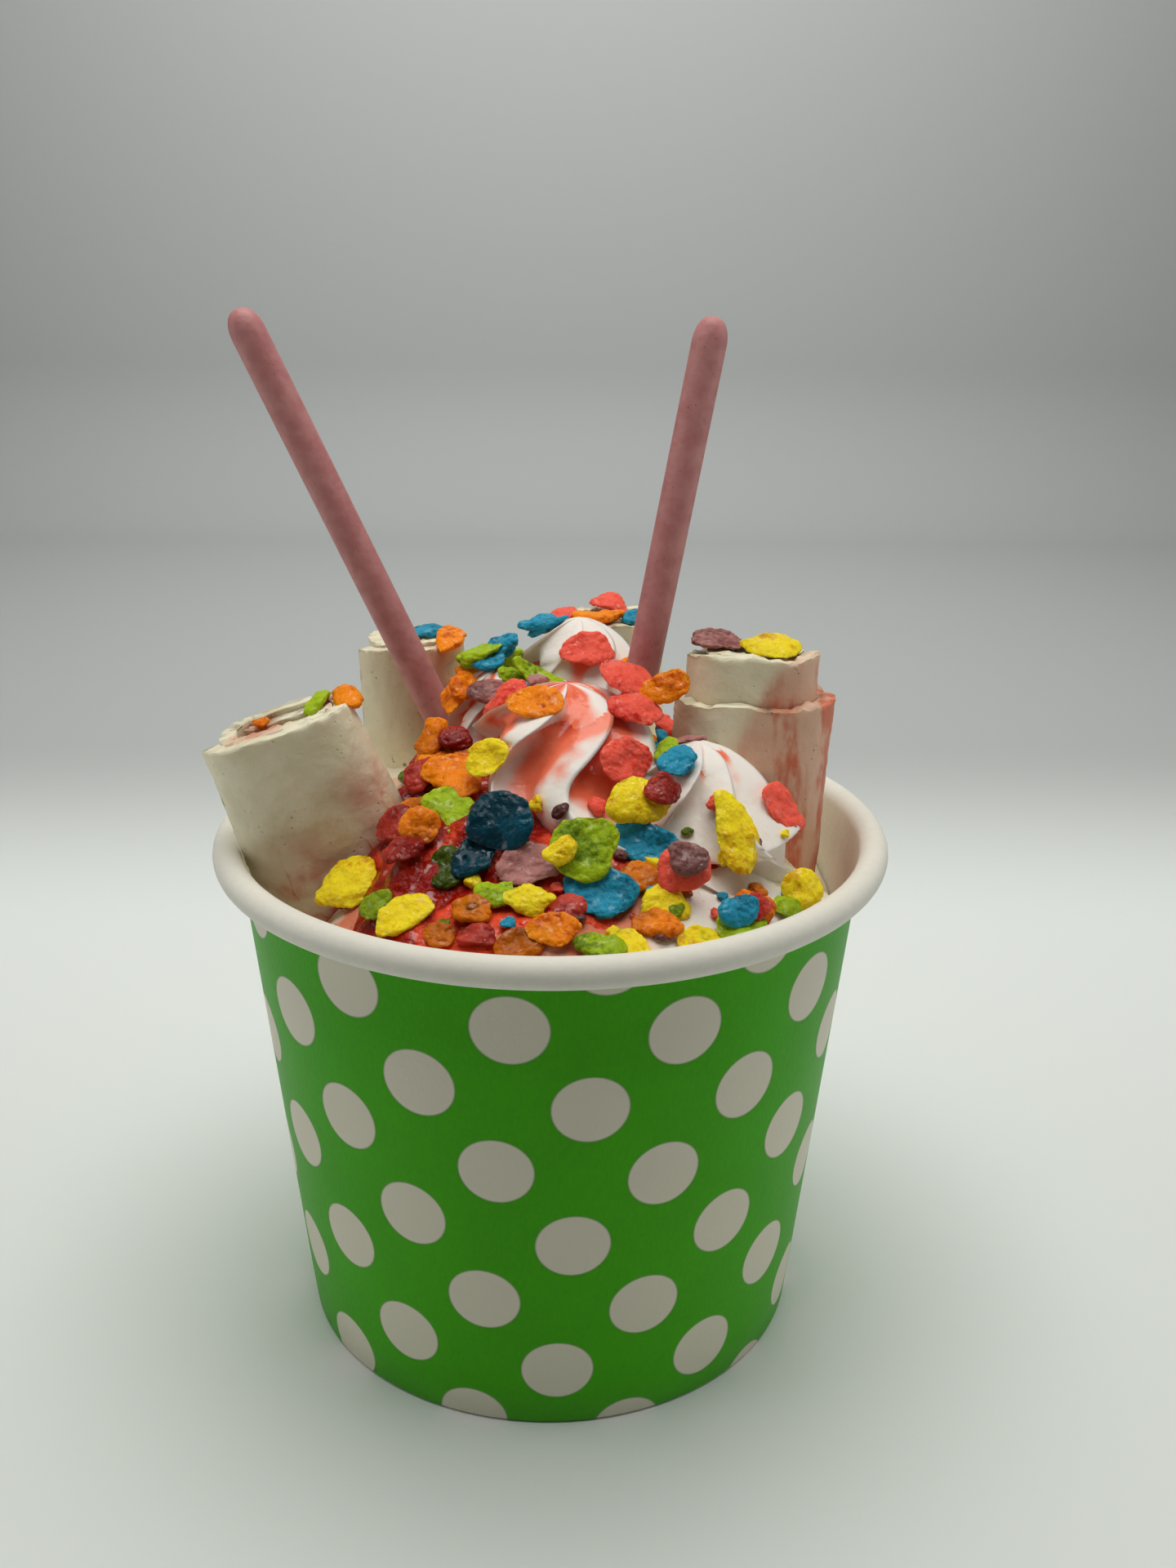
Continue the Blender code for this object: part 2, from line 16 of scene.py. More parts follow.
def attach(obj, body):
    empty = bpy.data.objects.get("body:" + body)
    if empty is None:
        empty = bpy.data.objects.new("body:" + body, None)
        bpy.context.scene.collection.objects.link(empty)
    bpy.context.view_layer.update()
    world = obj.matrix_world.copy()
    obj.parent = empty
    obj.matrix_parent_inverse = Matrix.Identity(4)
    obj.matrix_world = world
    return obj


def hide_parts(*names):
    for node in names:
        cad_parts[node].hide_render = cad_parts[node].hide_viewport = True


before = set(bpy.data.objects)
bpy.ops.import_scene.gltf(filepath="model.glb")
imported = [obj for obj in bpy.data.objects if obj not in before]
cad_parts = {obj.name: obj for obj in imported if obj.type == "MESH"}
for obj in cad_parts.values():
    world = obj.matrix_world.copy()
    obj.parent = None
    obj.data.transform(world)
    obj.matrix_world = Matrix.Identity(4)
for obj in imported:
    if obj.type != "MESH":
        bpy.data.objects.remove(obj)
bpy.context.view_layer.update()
MM = 0.001

# ------------------------------------------------------------------ camera
# A phone held at the height of the sticks, a forearm away from the cup, and
# tipped down over its front rim.

camera_place = Vector((0, -212.95, 157.55)) * MM
camera_look = Vector((0.02303, 0.94169, -0.33569))
camera_roll = 0.0102
camera_turn = camera_look.to_track_quat("-Z", "Y") @ Quaternion((0, 0, 1), camera_roll)
bpy.ops.object.camera_add(location=camera_place, rotation=camera_turn.to_euler())
camera = bpy.context.object
camera.data.lens = 35.8
camera.data.clip_start = 10 * MM
bpy.context.scene.camera = camera

# ------------------------------------------------------------ table and light
# A pale painted table that sweeps up into a backdrop, turned darker grey up the
# backdrop as painted shade.  One broad soft lamp hangs over the cup, one lights
# the backdrop, and two weak ones and the room fill the shadows at the sides.

TABLE_WIDTH, TABLE_BACK = 3000 * MM, 700 * MM
BACKDROP_HEIGHT, SWEEP_RADIUS = 1600 * MM, 85 * MM
# from the first to the second, the pale table turns to a darker grey: painted shade standing in for
# the shade on the backdrop
PALE_END, PAINTED_SHADE_START = 120 * MM, 270 * MM
TABLE_PALE = (0.77, 0.80, 0.77)
BACKDROP_PAINTED_SHADE = (0.43, 0.445, 0.43)
ROOM_LIGHT, ROOM_STRENGTH = (0.97, 1.0, 0.98, 1), 0.08


def deselect():
    """Leaves nothing selected, so that an operator acts on its own piece."""
    bpy.ops.object.select_all(action="DESELECT")


class Wire:
    """A shader value.  Arithmetic on it adds Math nodes."""

    def __init__(self, socket):
        self.socket = socket

    def node(self, kind, settings, sockets, output=0):
        """Adds a node: its settings first, then its sockets' values or links."""
        tree = self.socket.id_data
        made = tree.nodes.new("ShaderNode" + kind)
        for name, setting in settings.items():
            setattr(made, name, setting)
        for name, value in sockets.items():
            if isinstance(value, Wire):
                tree.links.new(value.socket, made.inputs[name])
            else:
                made.inputs[name].default_value = value
        return Wire(made.outputs[output])

    def math(self, operation, *others):
        sockets = dict(enumerate((self, *others)))
        return self.node("Math", {"operation": operation}, sockets)

    def __add__(self, other):
        return self.math("ADD", other)

    def __sub__(self, other):
        return self.math("SUBTRACT", other)

    def __mul__(self, other):
        return self.math("MULTIPLY", other)

    def __truediv__(self, other):
        return self.math("DIVIDE", other)

    def __rsub__(self, other):
        return self * -1 + other

    __radd__ = __add__
    __rmul__ = __mul__

    def scaled(self, sizes):
        """This place, multiplied along each axis."""
        return self.node("VectorMath", {"operation": "MULTIPLY"}, {0: self, 1: sizes})

    def axis(self, letter):
        """This place along X, Y or Z."""
        return self.node("SeparateXYZ", {}, {"Vector": self}, letter)

    def away_from(self, place):
        """How far this place is from another one."""
        sockets = {0: self, 1: place}
        return self.node("VectorMath", {"operation": "DISTANCE"}, sockets, "Value")

    def rough(self, size, detail):
        """Noise from 0 to 1, with lumps of this size."""
        sockets = {"Vector": self, "Scale": 1 / size, "Detail": detail}
        return self.node("TexNoise", {}, sockets)

    def cells(self, size):
        """How far each place is from the middle of its cell, in cells."""
        sockets = {"Vector": self, "Scale": 1 / size}
        return self.node("TexVoronoi", {}, sockets, "Distance")

    def between(self, low, high):
        """0 below the low value, 1 above the high one, smooth between them."""
        sockets = {"Value": self, "From Min": low, "From Max": high}
        return self.node("MapRange", {"interpolation_type": "SMOOTHSTEP"}, sockets)

    def blend(self, low, high):
        """The low colour where this is 0, and the high one where it is 1."""
        ends = [each if isinstance(each, Wire) else (*each, 1) for each in (low, high)]
        sockets = {0: self, 6: ends[0], 7: ends[1]}
        return self.node("Mix", {"data_type": "RGBA"}, sockets, 2)


def finish(name, **constants):
    """A material, with its shader and the place of each point on its piece."""
    made = bpy.data.materials.new(name)
    made.use_nodes = True
    shader = made.node_tree.nodes["Principled BSDF"]
    for socket, value in constants.items():
        shader.inputs[socket.replace("_", " ")].default_value = value
    place = made.node_tree.nodes.new("ShaderNodeTexCoord")
    return made, shader, Wire(place.outputs["Object"])


def wear(shader, socket, value):
    """Lets a value that changes over the surface feed one of the sockets."""
    shader.id_data.links.new(value.socket, shader.inputs[socket])


def emboss(shader, height, depth):
    """Raises the surface by the height, as far as the depth in metres."""
    sockets = {"Height": height, "Distance": depth, "Strength": 1.0}
    wear(shader, "Normal", height.node("Bump", {}, sockets))


deselect()
bpy.ops.mesh.primitive_plane_add(size=TABLE_WIDTH, location=(0, TABLE_BACK - TABLE_WIDTH / 2, 0))
table = bpy.context.object
table.name = "table"
bpy.ops.object.transform_apply()
bpy.ops.object.mode_set(mode="EDIT")
bpy.ops.mesh.select_all(action="DESELECT")
bpy.ops.object.mode_set(mode="OBJECT")
for edge in table.data.edges:
    ends = [table.data.vertices[end].co.y for end in edge.vertices]
    edge.select = min(ends) > TABLE_BACK - MM
bpy.ops.object.mode_set(mode="EDIT")
bpy.ops.mesh.select_mode(type="EDGE")
bpy.ops.mesh.extrude_region_move(TRANSFORM_OT_translate={"value": (0, 0, BACKDROP_HEIGHT)})
bpy.ops.object.mode_set(mode="OBJECT")
fold = table.modifiers.new("Sweep", "BEVEL")
fold.width, fold.segments, fold.limit_method = SWEEP_RADIUS, 12, "ANGLE"
bpy.ops.object.modifier_apply(modifier="Sweep")
bpy.ops.object.shade_smooth()
look, shader, place = finish("pale_paint_and_painted_shade", Roughness=0.75)
# painted shade: towards the back and up the backdrop the colour turns darker grey, standing in for
# the shade the backdrop lies in
backdrop_painted_shade = place.axis("Y").between(PALE_END, PAINTED_SHADE_START)
wear(shader, "Base Color", backdrop_painted_shade.blend(TABLE_PALE, BACKDROP_PAINTED_SHADE))
table.data.materials.append(look)

world = bpy.data.worlds.new("room")
world.use_nodes = True
room = world.node_tree.nodes["Background"].inputs
room["Color"].default_value, room["Strength"].default_value = ROOM_LIGHT, ROOM_STRENGTH
bpy.context.scene.world = world
bpy.context.scene.view_settings.view_transform = "Standard"


def lamp(name, place, aim, size, power, colour):
    """A square soft lamp that faces its aim; its power is in watts."""
    bpy.ops.object.light_add(type="AREA", location=place)
    made = bpy.context.object
    made.name = name
    made.rotation_euler = (Vector(aim) - Vector(place)).to_track_quat("-Z", "Y").to_euler()
    made.data.size, made.data.energy, made.data.color = size, power, colour


WARM, PLAIN = (1, 0.99, 0.96), (1, 1, 1)
lamp("lamp_above", (0, 0, 0.52), aim=(0, 0, 0), size=0.42, power=2.05, colour=WARM)
lamp("lamp_left", (-0.42, -0.02, 0.16), aim=(0, 0, 0.06), size=0.3, power=0.34, colour=PLAIN)
lamp("lamp_back", (0, 0.38, 0.60), aim=(0, 0.75, 0.32), size=0.5, power=2.8, colour=PLAIN)
lamp("lamp_right", (0.42, -0.02, 0.16), aim=(0, 0, 0.06), size=0.3, power=0.34, colour=PLAIN)

# ---------------------------------------------------------------- paper cup
# One printed blank of coated board, wrapped into a cone and glued down the
# back, turned up under the base, and curled outwards into the rim.  The dots
# are printed on the green, and the inside is bare, darkened by painted shade.

CUP_HEIGHT = 76.4 * MM
RIM_RADIUS = 48.5 * MM
CURL_RADIUS = 2.05 * MM
FOOT_RADIUS = 37.5 * MM
PAPER = 0.5 * MM
WALL_TOP_RADIUS = RIM_RADIUS - 2 * CURL_RADIUS + PAPER
FOLD_HEIGHT, FOLD_WIDTH = 6.0 * MM, 1.7 * MM
CREASE_INNER, CREASE_OUTER = 0.4 * MM, 0.3 * MM
CUP_SIDES, WALL_STEPS, CURL_STEPS, CURL_SWEEP = 192, 12, 20, 300
DOT_RADIUS, DOT_PITCH = 4.95 * MM, 15.48 * MM
DOT_TURN = 0.6942
DOT_START = (4.86 * MM, 519.8 * MM)  # a dot's middle on the flat blank
DOT_BLUR = 0.09 * MM
RING_OUTER, RING_INNER = 0.22 * MM, 0.06 * MM
BLANK_SINE = 0.08044  # of half the angle of the cone that the blank is cut for
CONE_SLOPE = (WALL_TOP_RADIUS - FOOT_RADIUS) / (CUP_HEIGHT - CURL_RADIUS)
PRINT_GREEN = (0.06, 0.41, 0.002)
PRINT_DEEP = (0.055, 0.36, 0.003)
PRINT_DOT = (0.72, 0.68, 0.55)
PRINT_RING = (0.10, 0.20, 0.05)
PAPER_WHITE = (0.80, 0.77, 0.67)
PAPER_DULL = (0.77, 0.75, 0.66)
# painted shade for the inside of the cup
PAPER_PAINTED_SHADE = (0.40, 0.39, 0.35)
SMEAR = (0.45, 0.16, 0.09)
SMEAR_MIDDLE = (45 * MM, -6 * MM, 68 * MM)
CUP_MIDDLE = (0, 0, 74 * MM)


def draw_up(name, rings, sides):
    """Draws a circle through rings of (radius, height), as on a lathe."""
    deselect()
    radius, height = rings[0]
    bpy.ops.mesh.primitive_circle_add(vertices=sides, radius=radius, location=(0, 0, height))
    made = bpy.context.object
    made.name = name
    bpy.ops.object.transform_apply()
    bpy.ops.object.mode_set(mode="EDIT")
    bpy.ops.mesh.select_all(action="SELECT")
    for (inner, low), (outer, high) in zip(rings, rings[1:]):
        bpy.ops.mesh.extrude_region_move(TRANSFORM_OT_translate={"value": (0, 0, high - low)})
        ratio = outer / inner
        bpy.ops.transform.resize(value=(ratio, ratio, 1), center_override=(0, 0, 0))
    bpy.ops.mesh.select_all(action="SELECT")
    bpy.ops.mesh.normals_make_consistent(inside=False)
    bpy.ops.object.mode_set(mode="OBJECT")
    return made


def turn_out(piece, middle):
    """Turns all the faces round if the face nearest that place looks inwards."""
    face = min(piece.data.polygons, key=lambda each: (each.center - middle).length)
    if face.normal.dot(Vector((face.center.x, face.center.y, 0))) < 0:
        bpy.ops.object.mode_set(mode="EDIT")
        bpy.ops.mesh.select_all(action="SELECT")
        bpy.ops.mesh.flip_normals()
        bpy.ops.object.mode_set(mode="OBJECT")


def add_modifier(piece, kind, **settings):
    """Adds a modifier with its settings and applies it at once."""
    bpy.context.view_layer.objects.active = piece
    made = piece.modifiers.new("Shape", kind)
    for setting, value in settings.items():
        setattr(made, setting, value)
    bpy.ops.object.modifier_apply(modifier=made.name)


def wall_radius(height):
    """Radius of the cup's outer face at a height."""
    return FOOT_RADIUS + CONE_SLOPE * height


half = PAPER / 2
rings = [
    (wall_radius(FOLD_HEIGHT) - FOLD_WIDTH - half, FOLD_HEIGHT),
    (wall_radius(0) - FOLD_WIDTH - half, half + CREASE_INNER),
    (wall_radius(0) - FOLD_WIDTH, half),
    (wall_radius(0) - half - CREASE_OUTER, half),
    (wall_radius(0) - half, half + CREASE_OUTER),
]
wall_end = CUP_HEIGHT - CURL_RADIUS
for step in range(1, WALL_STEPS + 1):
    height = wall_end * step / WALL_STEPS
    rings.append((wall_radius(height) - half, height))
reach, curl_middle = CURL_RADIUS - half, RIM_RADIUS - CURL_RADIUS
for step in range(1, CURL_STEPS + 1):
    angle = math.radians(180 - CURL_SWEEP * step / CURL_STEPS)
    rings.append((curl_middle + reach * math.cos(angle), wall_end + reach * math.sin(angle)))
cup = draw_up("cup_wall_printed", rings, CUP_SIDES)
turn_out(cup, Vector((0, -wall_radius(CUP_HEIGHT / 2), CUP_HEIGHT / 2)))
bpy.ops.object.shade_smooth()

printed, shader, place = finish("printed_board", Roughness=0.42, Specular_IOR_Level=0.1)
across, deep = place.axis("X"), place.axis("Y")
around = across.math("ARCTAN2", deep * -1) * BLANK_SINE
slant = place.axis("Z") * math.hypot(1, CONE_SLOPE) + FOOT_RADIUS / BLANK_SINE
flat_x = slant * around.math("SINE") - DOT_START[0]
flat_y = slant * around.math("COSINE") - DOT_START[1]
row = (flat_x * math.cos(DOT_TURN) + flat_y * math.sin(DOT_TURN)) / DOT_PITCH
column = (flat_y * math.cos(DOT_TURN) - flat_x * math.sin(DOT_TURN)) / DOT_PITCH
off_row, off_column = row - row.math("ROUND"), column - column.math("ROUND")
from_dot = (off_row * off_row + off_column * off_column).math("SQRT") * DOT_PITCH
grain = place.scaled((1, 1, 0.45)).rough(0.45 * MM, 4.0)
cloud = place.rough(14 * MM, 2.0)
green = (grain * 0.55 + cloud * 0.45).between(0.35, 0.65).blend(PRINT_DEEP, PRINT_GREEN)
outside = from_dot.between(DOT_RADIUS - DOT_BLUR, DOT_RADIUS + DOT_BLUR)
ring = (from_dot - DOT_RADIUS).math("ABSOLUTE").between(RING_OUTER, RING_INNER)
wear(shader, "Base Color", (ring * 0.4).blend(outside.blend(PRINT_DOT, green), PRINT_RING))
overlap = across.between(0.04 * MM, -0.04 * MM) * deep.between(0, MM) * 3
emboss(shader, place.rough(0.6 * MM, 4.0) + overlap, 0.06 * MM)

board, shader, place = finish("plain_board_painted_shade", Roughness=0.62, Specular_IOR_Level=0.3)
mottle = place.rough(1.3 * MM, 4.0).between(0.3, 0.7)
plain = mottle.blend(PAPER_DULL, PAPER_WHITE)
run = place.scaled((1, 1, 0.16)).rough(2.2 * MM, 3.0)
right_side = place.away_from(SMEAR_MIDDLE).between(24 * MM, 6 * MM)
inside = place.away_from(CUP_MIDDLE).between(44.4 * MM, 43.4 * MM)
smears = (run.between(0.40, 0.68) * 0.75 + 0.25) * right_side * inside
# painted shade: the inside of the cup is blended part way to a darker grey, standing in for the shade
# inside it
inside_painted_shade = (inside * 0.45).blend(plain, PAPER_PAINTED_SHADE)
wear(shader, "Base Color", smears.blend(inside_painted_shade, SMEAR))
emboss(shader, place.rough(0.9 * MM, 4.0), 0.05 * MM)

cup.data.materials.append(printed)
cup.data.materials.append(board)
add_modifier(cup, "SOLIDIFY", thickness=PAPER, offset=0, material_offset=1, material_offset_rim=1)
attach(cup, "root")
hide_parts("cup_wall")

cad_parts["cup_base"].data.materials.clear()
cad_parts["cup_base"].data.materials.append(board)

# --------------------------------------------------------- rolled ice cream
# Thin sheets scraped off a cold plate, each rolled up on itself and stood on
# end.  They are pale and dense, torn along the top, and stained by the fruit
# that was chopped into them.

SHEET = 2.3 * MM
SHEET_PITCH = SHEET + 0.35 * MM
SHEET_START = math.radians(200)
SQUARENESS = 2.2
SHEET_COLUMNS, SHEET_ROWS = 230, 84
HIDDEN_ROWS, HIDDEN_SHARE = 0.1, 0.55  # share of the rows, for that share of the height
TORN_SHARE, SPREAD_SHARE = 0.25, 0.3  # of the height, from the top down
EDGE_TURNS, EDGE_FADE = 0.5, 0.16  # turns over which the outer end is lower
INNER_TURNS, INNER_FADE = 0.85, 0.2  # turns after which the inner ones are sunk
CHIP_SIZE, WAVE_SIZE, PORE_SIZE = 1.1 * MM, 6.0 * MM, 1.6 * MM
ICE_PALE = (0.88, 0.81, 0.60)
ICE_SHADE = (0.78, 0.72, 0.50)
# painted shade inside the pores
PORE_PAINTED_SHADE = (0.36, 0.31, 0.16)
CREAM_FILM = (0.88, 0.82, 0.73)
FRUIT_BLUSH = (0.74, 0.42, 0.29)
FRUIT_PINK = (0.62, 0.14, 0.06)
FRUIT_DARK = (0.20, 0.03, 0.02)
STREAK_BANDS = ((32, 3.0), (39, 2.6))  # mm along X, and half the width

# lower end, upper end, half width, half depth, turn of the broad side, turns
# of the sheet, drop of its outer front edge, spread below the top, how far
# the inner turns are sunk (negative where they stand higher), and how ragged
# the upper edge is
ROLLS = {
    "roll_left": ((-12.5, -6, 26), (-37.2, -9.5, 94.5), 11.4, 7.4, -4, 1.85, 0.5, 0.16, 0.6, 0.25),
    "roll_back_left": ((-19, 18.6, 11), (-21.6, 20.7, 98.5), 9.0, 7.6, 12, 1.85, 0.8, 0, 0.5, 0.5),
    "roll_back": ((11, 23, 10), (8.5, 28, 100.5), 10.0, 7.5, -6, 1.85, 0.8, 0, 0.4, 0.8),
    "roll_right": ((24.3, -3, 10), (29.2, 1, 100), 12.5, 8.8, 3, 2.35, 5.0, 0, -1.2, 1.2),
}


def standing_frame(foot, head, turn):
    """Local Z runs from foot to head, and local X along the broad side."""
    axis = (head - foot).normalized()
    broad = Vector((math.cos(math.radians(turn)), math.sin(math.radians(turn)), 0))
    broad = (broad - broad.dot(axis) * axis).normalized()
    placed = Matrix((broad, axis.cross(broad), axis)).transposed().to_4x4()
    placed.translation = foot
    return placed


def spiral_point(half_width, half_depth, turn):
    """A point of the sheet's middle, its turns counted inwards from its end."""
    inset = SHEET / 2 + SHEET_PITCH * turn
    long, short = half_width * MM - inset, half_depth * MM - inset
    angle = math.tau * turn + SHEET_START
    along = math.tanh(SQUARENESS * math.cos(angle)) / math.tanh(SQUARENESS)
    return (long - short) * along + short * math.cos(angle), short * math.sin(angle)


def torn_edge(place):
    """Height of the torn upper edge: long waves with small chips in them."""
    chip = noise.noise(place * 0.8)
    return (0.9 * noise.noise(place * 0.17) + 0.5 * chip - 0.9 * max(0, chip - 0.25)) * MM


def roughen(piece, size, depth, group=""):
    """Moves the surface in and out by a cloud pattern of that size."""
    pattern = bpy.data.textures.new("pattern", "CLOUDS")
    pattern.noise_scale, pattern.noise_depth = size, 2
    add_modifier(
        piece, "DISPLACE", texture=pattern, texture_coords="LOCAL", strength=depth,
        mid_level=0.5, vertex_group=group,
    )


def move_points(piece, moved):
    """Puts each point of the piece where the function sends it."""
    places = [moved(vert.co.copy()) for vert in piece.data.vertices]
    piece.data.vertices.foreach_set("co", [part for place in places for part in place])
    piece.data.update()


def rolled_sheet(name, foot, head, half_width, half_depth, turn, turns, drop, spread, recess, ragged):
    """A flat grid of the sheet's own size, rolled up and stood on end."""
    foot, head = Vector(foot) * MM, Vector(head) * MM
    placed, length = standing_frame(foot, head, turn), (head - foot).length
    deselect()
    bpy.ops.mesh.primitive_grid_add(x_subdivisions=SHEET_COLUMNS, y_subdivisions=SHEET_ROWS, size=2)
    sheet = bpy.context.object
    sheet.name = name + "_sheet"

    def rolled(co):
        wrap = turns * (co.x + 1) / 2
        share = (co.y + 1) / 2
        if share < HIDDEN_ROWS:
            share *= HIDDEN_SHARE / HIDDEN_ROWS
        else:
            share = HIDDEN_SHARE + (share - HIDDEN_ROWS) * (1 - HIDDEN_SHARE) / (1 - HIDDEN_ROWS)
        x, y = spiral_point(half_width, half_depth, wrap)
        dropped = 1 - max(0, min(1, (wrap - EDGE_TURNS) / EDGE_FADE))
        inner = max(0, min(1, (wrap - INNER_TURNS) / INNER_FADE))
        edge = ragged * torn_edge(Vector((x / MM, y / MM, foot.x / MM)))
        edge -= (drop * dropped + recess * inner) * MM
        near_top = max(0, (share - 1 + TORN_SHARE) / TORN_SHARE) ** 2
        wide = 1 + spread * min(1, (1 - share) / SPREAD_SHARE)
        return placed @ Vector((x * wide, y, share * length + edge * near_top))

    move_points(sheet, rolled)
    sheet.vertex_groups.new(name="torn")
    add_modifier(
        sheet, "SOLIDIFY", thickness=SHEET, offset=0, use_even_offset=True,
        rim_vertex_group="torn",
    )
    add_modifier(
        sheet, "BEVEL", width=0.85 * MM, segments=4, limit_method="ANGLE",
        angle_limit=math.radians(60),
    )
    roughen(sheet, CHIP_SIZE, 0.5 * MM, "torn")
    roughen(sheet, WAVE_SIZE, 0.7 * MM)
    roughen(sheet, PORE_SIZE, 0.12 * MM)
    bpy.ops.object.shade_smooth()
    return sheet


def stained(place, warp, stains):
    """Fruit that has soaked in round places, stronger along thin threads."""
    thread = (place.scaled((1, 1, 0.4)).rough(6.5 * MM, 2.0) - 0.5).math("ABSOLUTE")
    threads = thread.between(0.02, 0.0) * 0.6 + 0.6
    patches = []
    for where, reach, amount in stains:
        near = place.away_from(tuple(Vector(where) * MM)) / (reach * MM) + warp * 1.6 - 0.8
        patches.append(near.between(1.0, 0.1) * amount * threads)
    return sum(patches)


def ice_cream_finish(name, stains=(), streaked=None, creamed=None):
    """Pale ice cream with pores, darkened by painted shade, and specks, and fruit or cream on parts
    of it.
    """
    made, shader, place = finish(
        name, Roughness=0.5, Specular_IOR_Level=0.35, Subsurface_Weight=0.2,
        Subsurface_Scale=1.2 * MM, Subsurface_Radius=(1, 0.8, 0.5),
    )
    warp = place.rough(5 * MM, 3.0)
    colour = place.rough(7 * MM, 3.0).between(0.35, 0.7).blend(ICE_SHADE, ICE_PALE)
    if streaked:
        where, reach = streaked
        near = place.away_from(tuple(Vector(where) * MM)).between(reach * MM, reach * 0.65 * MM)
        tinted = (near + place.scaled((1, 1, 0.3)).rough(9 * MM, 2.0) - 0.5).between(0.1, 0.5)
        colour = (tinted * 0.8).blend(colour, FRUIT_BLUSH)
        run = place.scaled((1, 1, 0.14)).rough(3.6 * MM, 4.0)
        aside = place.axis("X") + (warp - 0.5) * 5 * MM
        bands = sum(
            (aside - middle * MM).math("ABSOLUTE").between(width * MM, 0.6 * MM)
            for middle, width in STREAK_BANDS
        )
        fleck = place.scaled((1, 1, 0.4)).rough(1.6 * MM, 3.0).between(0.25, 0.62)
        fruit = (run + bands * 0.16).between(0.45, 0.63) * near * fleck
        slits = place.scaled((1, 1, 0.3)).cells(2.6 * MM).between(0.13, 0.09)
        specks = slits * place.rough(3.0 * MM, 1.0).between(0.48, 0.58) * near
    else:
        fruit = stained(place, warp, stains)
        seeds = place.cells(4.2 * MM).between(0.09, 0.05)
        specks = seeds * place.rough(4 * MM, 1.0).between(0.55, 0.65)
    colour = fruit.math("MINIMUM", 0.92).blend(colour, FRUIT_PINK)
    colour = (specks * 0.75).blend(colour, FRUIT_DARK)
    pores = place.cells(0.9 * MM).between(0.22, 0.05) * place.rough(2.5 * MM, 2.0).between(0.52, 0.68)
    # painted shade: the pores are darkened, standing in for the shade inside them
    colour = (pores * 0.4).blend(colour, PORE_PAINTED_SHADE)
    if creamed:
        where, reach = creamed
        near = place.away_from(tuple(Vector(where) * MM)) + (warp - 0.5) * 6 * MM
        colour = near.between(reach * MM, reach * 0.7 * MM).blend(colour, CREAM_FILM)
    wear(shader, "Base Color", colour)
    fine = place.rough(0.8 * MM, 4.0) * 0.5 + place.rough(2.6 * MM, 3.0)
    emboss(shader, fine - pores * 1.2, 0.16 * MM)
    return made


# where the fruit has soaked in, how far it reaches, and how strongly; the
# right roll has chopped fruit in it instead, which the scraper drew out
ROLL_FRUIT = {
    "roll_left": {
        "stains": (
            ((-27, -20, 64), 15, 1.5),
            ((-23.5, -16, 84), 8, 0.9),
            ((-31, -18, 76), 9, 0.7),
            ((-40, -9.5, 92), 5.5, 1.3),
            ((-30, -7, 96), 5, 0.8),
        )
    },
    "roll_back_left": {"stains": (((-15, 12, 94), 8, 1.0), ((-13, 13, 84), 9, 0.9))},
    "roll_back": {"stains": (((6, 21, 98), 6, 0.6),)},
    "roll_right": {"streaked": ((46, -6, 82), 25)},
}
sheets = []
for name, sizes in ROLLS.items():
    sheet = rolled_sheet(name, *sizes)
    sheets.append(sheet)
    sheet.data.materials.append(ice_cream_finish(name + "_ice_cream", **ROLL_FRUIT[name]))
    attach(sheet, "root")
    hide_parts(name)

# ------------------------------------------------------------ bed of ice cream
# Softer ice cream that has sunk down between the rolls and fills the cup.  It
# is heaped in the middle, and lower beside the outer rolls and at the back.

BED_FLOOR, BED_GAP = 8.0 * MM, 0.1 * MM
BED_RIM, BED_MOUND, BED_REACH = 72.5, 16.5, 43
BED_BACK, BED_BACK_SLOPE = 18, 0.35
BED_SIDES, BED_RINGS = 200, 64
SHUT = 0.0001 * MM  # radius of a ring that is drawn almost shut
# side, where the bed starts to sink, its slope, and the dip's middle and reach
BED_DIPS = ((-1, 18, 0.8, -14, 30), (1, 27, 0.9, 2, 26))
BED_STAINS = (
    ((-14, -30, 76), 30, 2.2),
    ((-18, -1, 84), 13, 2.4),
    ((12, -36, 75), 20, 1.6),
    ((36, -2, 60), 16, 1.6),
)


def bed_level(x, y):
    """Height of the bed: a mound, with a dip at each side and a slope at the back."""
    x, y = x / MM, y / MM
    level = BED_RIM + BED_MOUND * max(0, 1 - math.hypot(x, y) / BED_REACH) ** 0.8
    for side, start, slope, middle, reach in BED_DIPS:
        level -= max(0, side * x - start) * slope * max(0, 1 - abs(y - middle) / reach)
    level -= max(0, y - BED_BACK) * BED_BACK_SLOPE
    return (level + 1.2 * noise.noise(Vector((x, y, 3)) * 0.11)) * MM


def close_middle(piece):
    """Merges the last ring, which is drawn almost shut, into one point."""
    bpy.ops.object.mode_set(mode="EDIT")
    bpy.ops.mesh.select_all(action="SELECT")
    bpy.ops.mesh.remove_doubles(threshold=0.02 * MM)
    bpy.ops.mesh.normals_make_consistent(inside=False)
    bpy.ops.object.mode_set(mode="OBJECT")


def room_at(height):
    """Radius of the space inside the cup's wall at a height."""
    return wall_radius(height) - PAPER - BED_GAP


def inside_wall(x, y, z):
    """The place, moved inwards if it lies outside the cup at that height."""
    share = min(1, room_at(z) / max(math.hypot(x, y), MM))
    return Vector((x * share, y * share, z))


def sunk(co):
    """Lowers the flat top of the filling to the bed's level, with small lumps."""
    if co.z < BED_FLOOR + MM:
        return co
    lumps = noise.noise(co / (4 * MM)) * 0.9 + noise.noise(co / (1.7 * MM)) * 0.4
    return inside_wall(co.x, co.y, bed_level(co.x, co.y) + lumps * MM)


